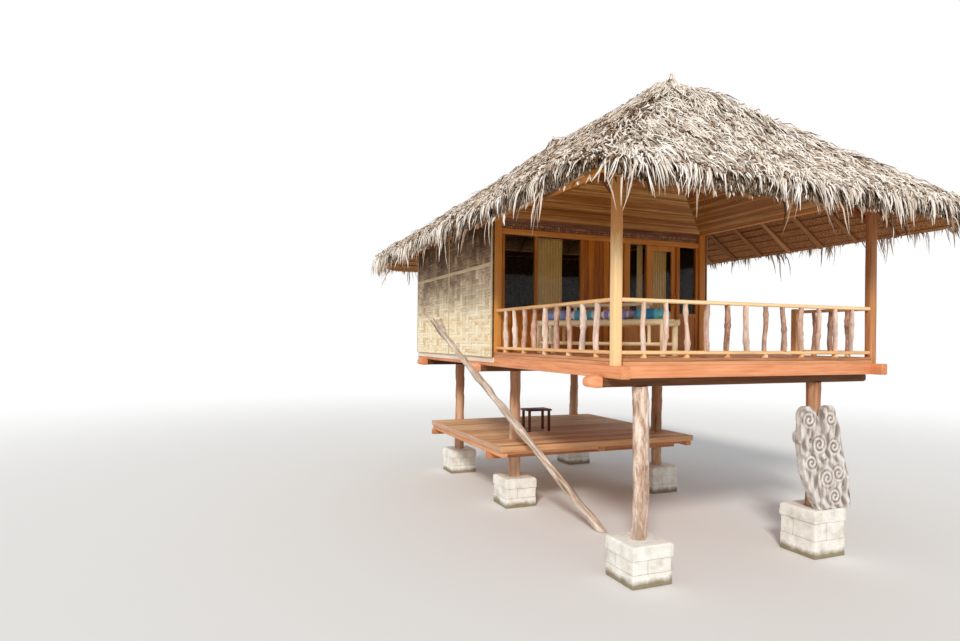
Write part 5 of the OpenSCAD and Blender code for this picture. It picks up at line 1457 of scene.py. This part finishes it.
def addSlab():
    p = slabPlan
    mesh = evenSkin("carved_slab", "scroll_slab", p["voxel"])
    lean = np.radians(p["lean"])
    x, y, z = (vertexPoints(mesh) - p["foot"]).T
    up, deep = y * np.sin(lean) + z * np.cos(lean), z * np.sin(lean) - y * np.cos(lean)
    relief = 0.7 * np.tanh(2.5 * np.sin(34 * x + 15 * up + 2.0 * np.sin(9 * up)) * np.sin(15 * up - 9 * x))
    for centreX, centreY, radius in p["scrolls"]:
        dx, dy = x - centreX * p["width"], up - centreY * p["height"]
        distance = np.hypot(dx, dy)
        weight = np.exp(-(distance / (radius * 1.15)) ** 4)
        spiral = np.tanh(2 * np.cos(2 * np.pi * distance / p["pitch"] - np.arctan2(dy, dx)))
        relief = relief * (1 - weight) + weight * spiral
    worn = 0.35 * ripple(stack(up, x, deep) * [10.0, 60.0, 60.0])
    relief = relief * np.clip((deep - 0.08) / 0.02, 0, 1)
    push, depth = p["relief"] * (0.55 * relief + worn * 0.5), np.clip(0.5 - 0.55 * (relief + worn), 0, 1)
    addRoughened("scroll_slab", mesh, push, p["foot"][2], "weatheredCarving", "grey_carving", "carved_slab",
                 depth=depth)


addLeaningLog()
addSlab()
dress("low_table")
print("loose pieces")


# Bench of peeled poles, drawn from its corner along x and y and then turned. A pole is a circle carried
# along a straight line, its radius varied by knots and a rough noise.
benchPlan = {"corner": (-1.97, -1.36), "turn": -63.0, "length": 2.2, "depth": 0.48, "top": 3.31,
             "rail": 0.092, "leg": 0.084, "legIn": 0.06, "thin": 0.056, "strut": 0.048,
             "stretcher": 0.165, "strutIn": 0.265,
             "backHigh": 0.26, "backIn": 0.42, "slats": 4, "bearers": 4, "bearerDrop": 0.051, "uprights": 3,
             "seed": 181}


def benchTurned(points, back=False):
    turn = np.radians(benchPlan["turn"]) * (-1 if back else 1)
    corner = np.array([*benchPlan["corner"], 0.0])
    x, y, z = np.moveaxis(points - corner if back else points, -1, 0)
    turned = stack(x * np.cos(turn) - y * np.sin(turn), x * np.sin(turn) + y * np.cos(turn), z)
    return turned if back else turned + corner


def peeledPoles(starts, ends, width, rng, rings=14):
    starts, ends = (benchTurned(np.array(points, float)) for points in (starts, ends))
    share = shares(rings)
    paths = starts[:, None] + (ends - starts)[:, None] * share[:, None]
    paths[:, 1:-1] += rng.normal(0, 0.0012, (len(starts), rings - 2, 3))
    radii = width / 2 * (0.97 + knots(share, 0.04, len(starts), rng))
    ups = wayX if abs(ends[0, 2] - starts[0, 2]) > 0.01 else upZ
    return sweep(paths, ups, circleProfile(14), radii, radii, rng, 0.03, 0.04)


# Rows of poles: for each, the x of starts and ends, the y of both and the z of both, crossed with one
# another
def addBench():
    p, rng = begin(benchPlan)
    parts, length, rail, thin, strut = [], p["length"], p["rail"], p["thin"], p["strut"]
    railZ, slatZ = p["top"] - rail / 2, p["top"] - thin / 2
    lowZ, backZ = deckZ + p["stretcher"], p["top"] + p["backHigh"] - thin / 2
    rows = (rail / 2, p["depth"] - rail / 2)
    legs, struts = ((p[key], length - p[key]) for key in ("legIn", "strutIn"))
    gap = (p["depth"] - 2 * rail - p["slats"] * thin) / (p["slats"] + 1)
    slatYs = rail + gap + thin / 2 + np.arange(p["slats"]) * (thin + gap)
    uprights = np.linspace(p["backIn"] + thin, length - p["backIn"] - thin, p["uprights"])
    bearers, bearerZ = np.linspace(*legs, p["bearers"]), slatZ - p["bearerDrop"]
    for x0, x1, y0, y1, z0, z1, width in (
            ([0], [length], rows, rows, railZ, railZ, rail),
            (legs, legs, rows, rows, deckZ, railZ, p["leg"]),
            (legs[:1], legs[1:], rows, rows, lowZ, lowZ, thin),
            (struts, struts, rows, rows, lowZ, railZ, strut),
            (bearers, bearers, rows[:1], rows[1:], bearerZ, bearerZ, thin),
            ([legs[0] / 2], [length - legs[0] / 2], slatYs, slatYs, slatZ, slatZ, thin),
            ([p["backIn"]], [length - p["backIn"]], rows[1:], rows[1:], backZ, backZ, thin),
            (uprights, uprights, rows[1:], rows[1:], railZ, backZ, strut)):
        starts, ends = ([(x, y, z) for x in xs for y in ys] for xs, ys, z in ((x0, y0, z0), (x1, y1, z1)))
        parts.append(peeledPoles(starts, ends, width, rng))
    addPiece("pole_bench", parts, "paleBamboo", "bamboo", "bench")


addBench()


# Cushions: each is a pillow form, skinned with small even faces and blown up by a cloth simulation with
# pressure. The travel of each point is capped, so that the cushion stays in its place.
cushionPlan = {"gap": 0.012, "inset": 0.02, "height": 0.15, "voxel": 0.011, "pressure": 4.0, "cap": 0.02,
               "shrink": 0.93, "fill": 0.65, "frames": 20, "around": 88, "corner": 0.35, "weave": 300.0,
               "covers": (((150, 170, 232), (176, 196, 246), 0.0), ((96, 176, 204), (226, 240, 246), 5.0),
                          ((166, 146, 210), (250, 247, 252), 7.0), ((66, 150, 206), (112, 206, 220), 4.0))}


def addCushions():
    p, b = cushionPlan, benchPlan
    inset, ring = p["inset"], squareRing(p["around"], p["corner"])
    size = np.array([(b["length"] - 4 * inset - 3 * p["gap"]) / 4,
                     b["depth"] - b["rail"] / 2 - b["strut"] / 2 - 2 * inset, p["height"]])
    # A rounded square ring whose size and height follow an ellipse from bottom to top
    tilt = np.linspace(-np.pi / 2, np.pi / 2, 23)
    flat = np.maximum(np.cos(tilt) ** 0.34, 0.004)[:, None]
    rise = 0.86 * (np.sign(tilt) * np.abs(np.sin(tilt)) ** 0.8)[:, None]
    form = stack(ring[:, 0] * flat, ring[:, 1] * flat, rise) * p["shrink"] / 2
    for number, (first, second, stripe) in enumerate(p["covers"]):
        low = np.array([2 * inset + number * (size[0] + p["gap"]), inset, b["top"] + 0.0003])
        high = low + size
        name = "cushion_" + "abcd"[number]
        points = benchTurned((low + high) / 2 - [0, 0, 0.004] + form * size)
        mesh = meshFrom(name, [{"points": points.reshape(-1, 3), "faces": tubeFaces(1, *points.shape[:2])}])
        addCloth(name + "_cover", first, second, stripe, p["weave"])
        made = addPiece(name, mesh, name + "_cover", "cushion", "bench_cushions")
        blowUp(made)
        final = benchTurned(vertexPoints(made.data), back=True)
        final = np.clip(final, low - [0.005, 0.005, 0.0002], high + [0.005, 0.005, 0.02])
        setPoints(made.data, benchTurned(final))
        smoothFaces(made.data)
        setCloth(made.data, final[:, :2])


def blowUp(made):
    p, before = cushionPlan, made.data
    addRemesh(made, p["voxel"])
    skin = evaluated(made)
    made.modifiers.clear()
    made.data = skin
    cloth = made.modifiers.new("cloth", "CLOTH")
    setAll(cloth.settings, use_pressure=True, uniform_pressure_force=p["pressure"], quality=4)
    cloth.settings.effector_weights.gravity = 0.0
    setAll(cloth.point_cache, frame_start=1, frame_end=p["frames"])
    for step in range(1, p["frames"] + 1):
        scene.frame_set(step)
    blown = evaluated(made)
    rest = vertexPoints(skin)
    travel = vertexPoints(blown) - rest
    reach = np.linalg.norm(travel, axis=1, keepdims=True)
    made.modifiers.clear()
    made.data = blown
    setPoints(blown, rest + travel * np.minimum(1.0, p["cap"] / np.maximum(reach, 1e-9)))
    scene.frame_set(1)
    for mesh in (skin, before):
        bpy.data.meshes.remove(mesh)


addCushions()
print("bench and cushions")

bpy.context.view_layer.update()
shown = bpy.context.evaluated_depsgraph_get()
counts = {made.name: sum(len(face.vertices) - 2 for face in made.evaluated_get(shown).data.polygons)
          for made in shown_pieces()}
print("triangles in all", sum(counts.values()), "at most", max(counts.values()))
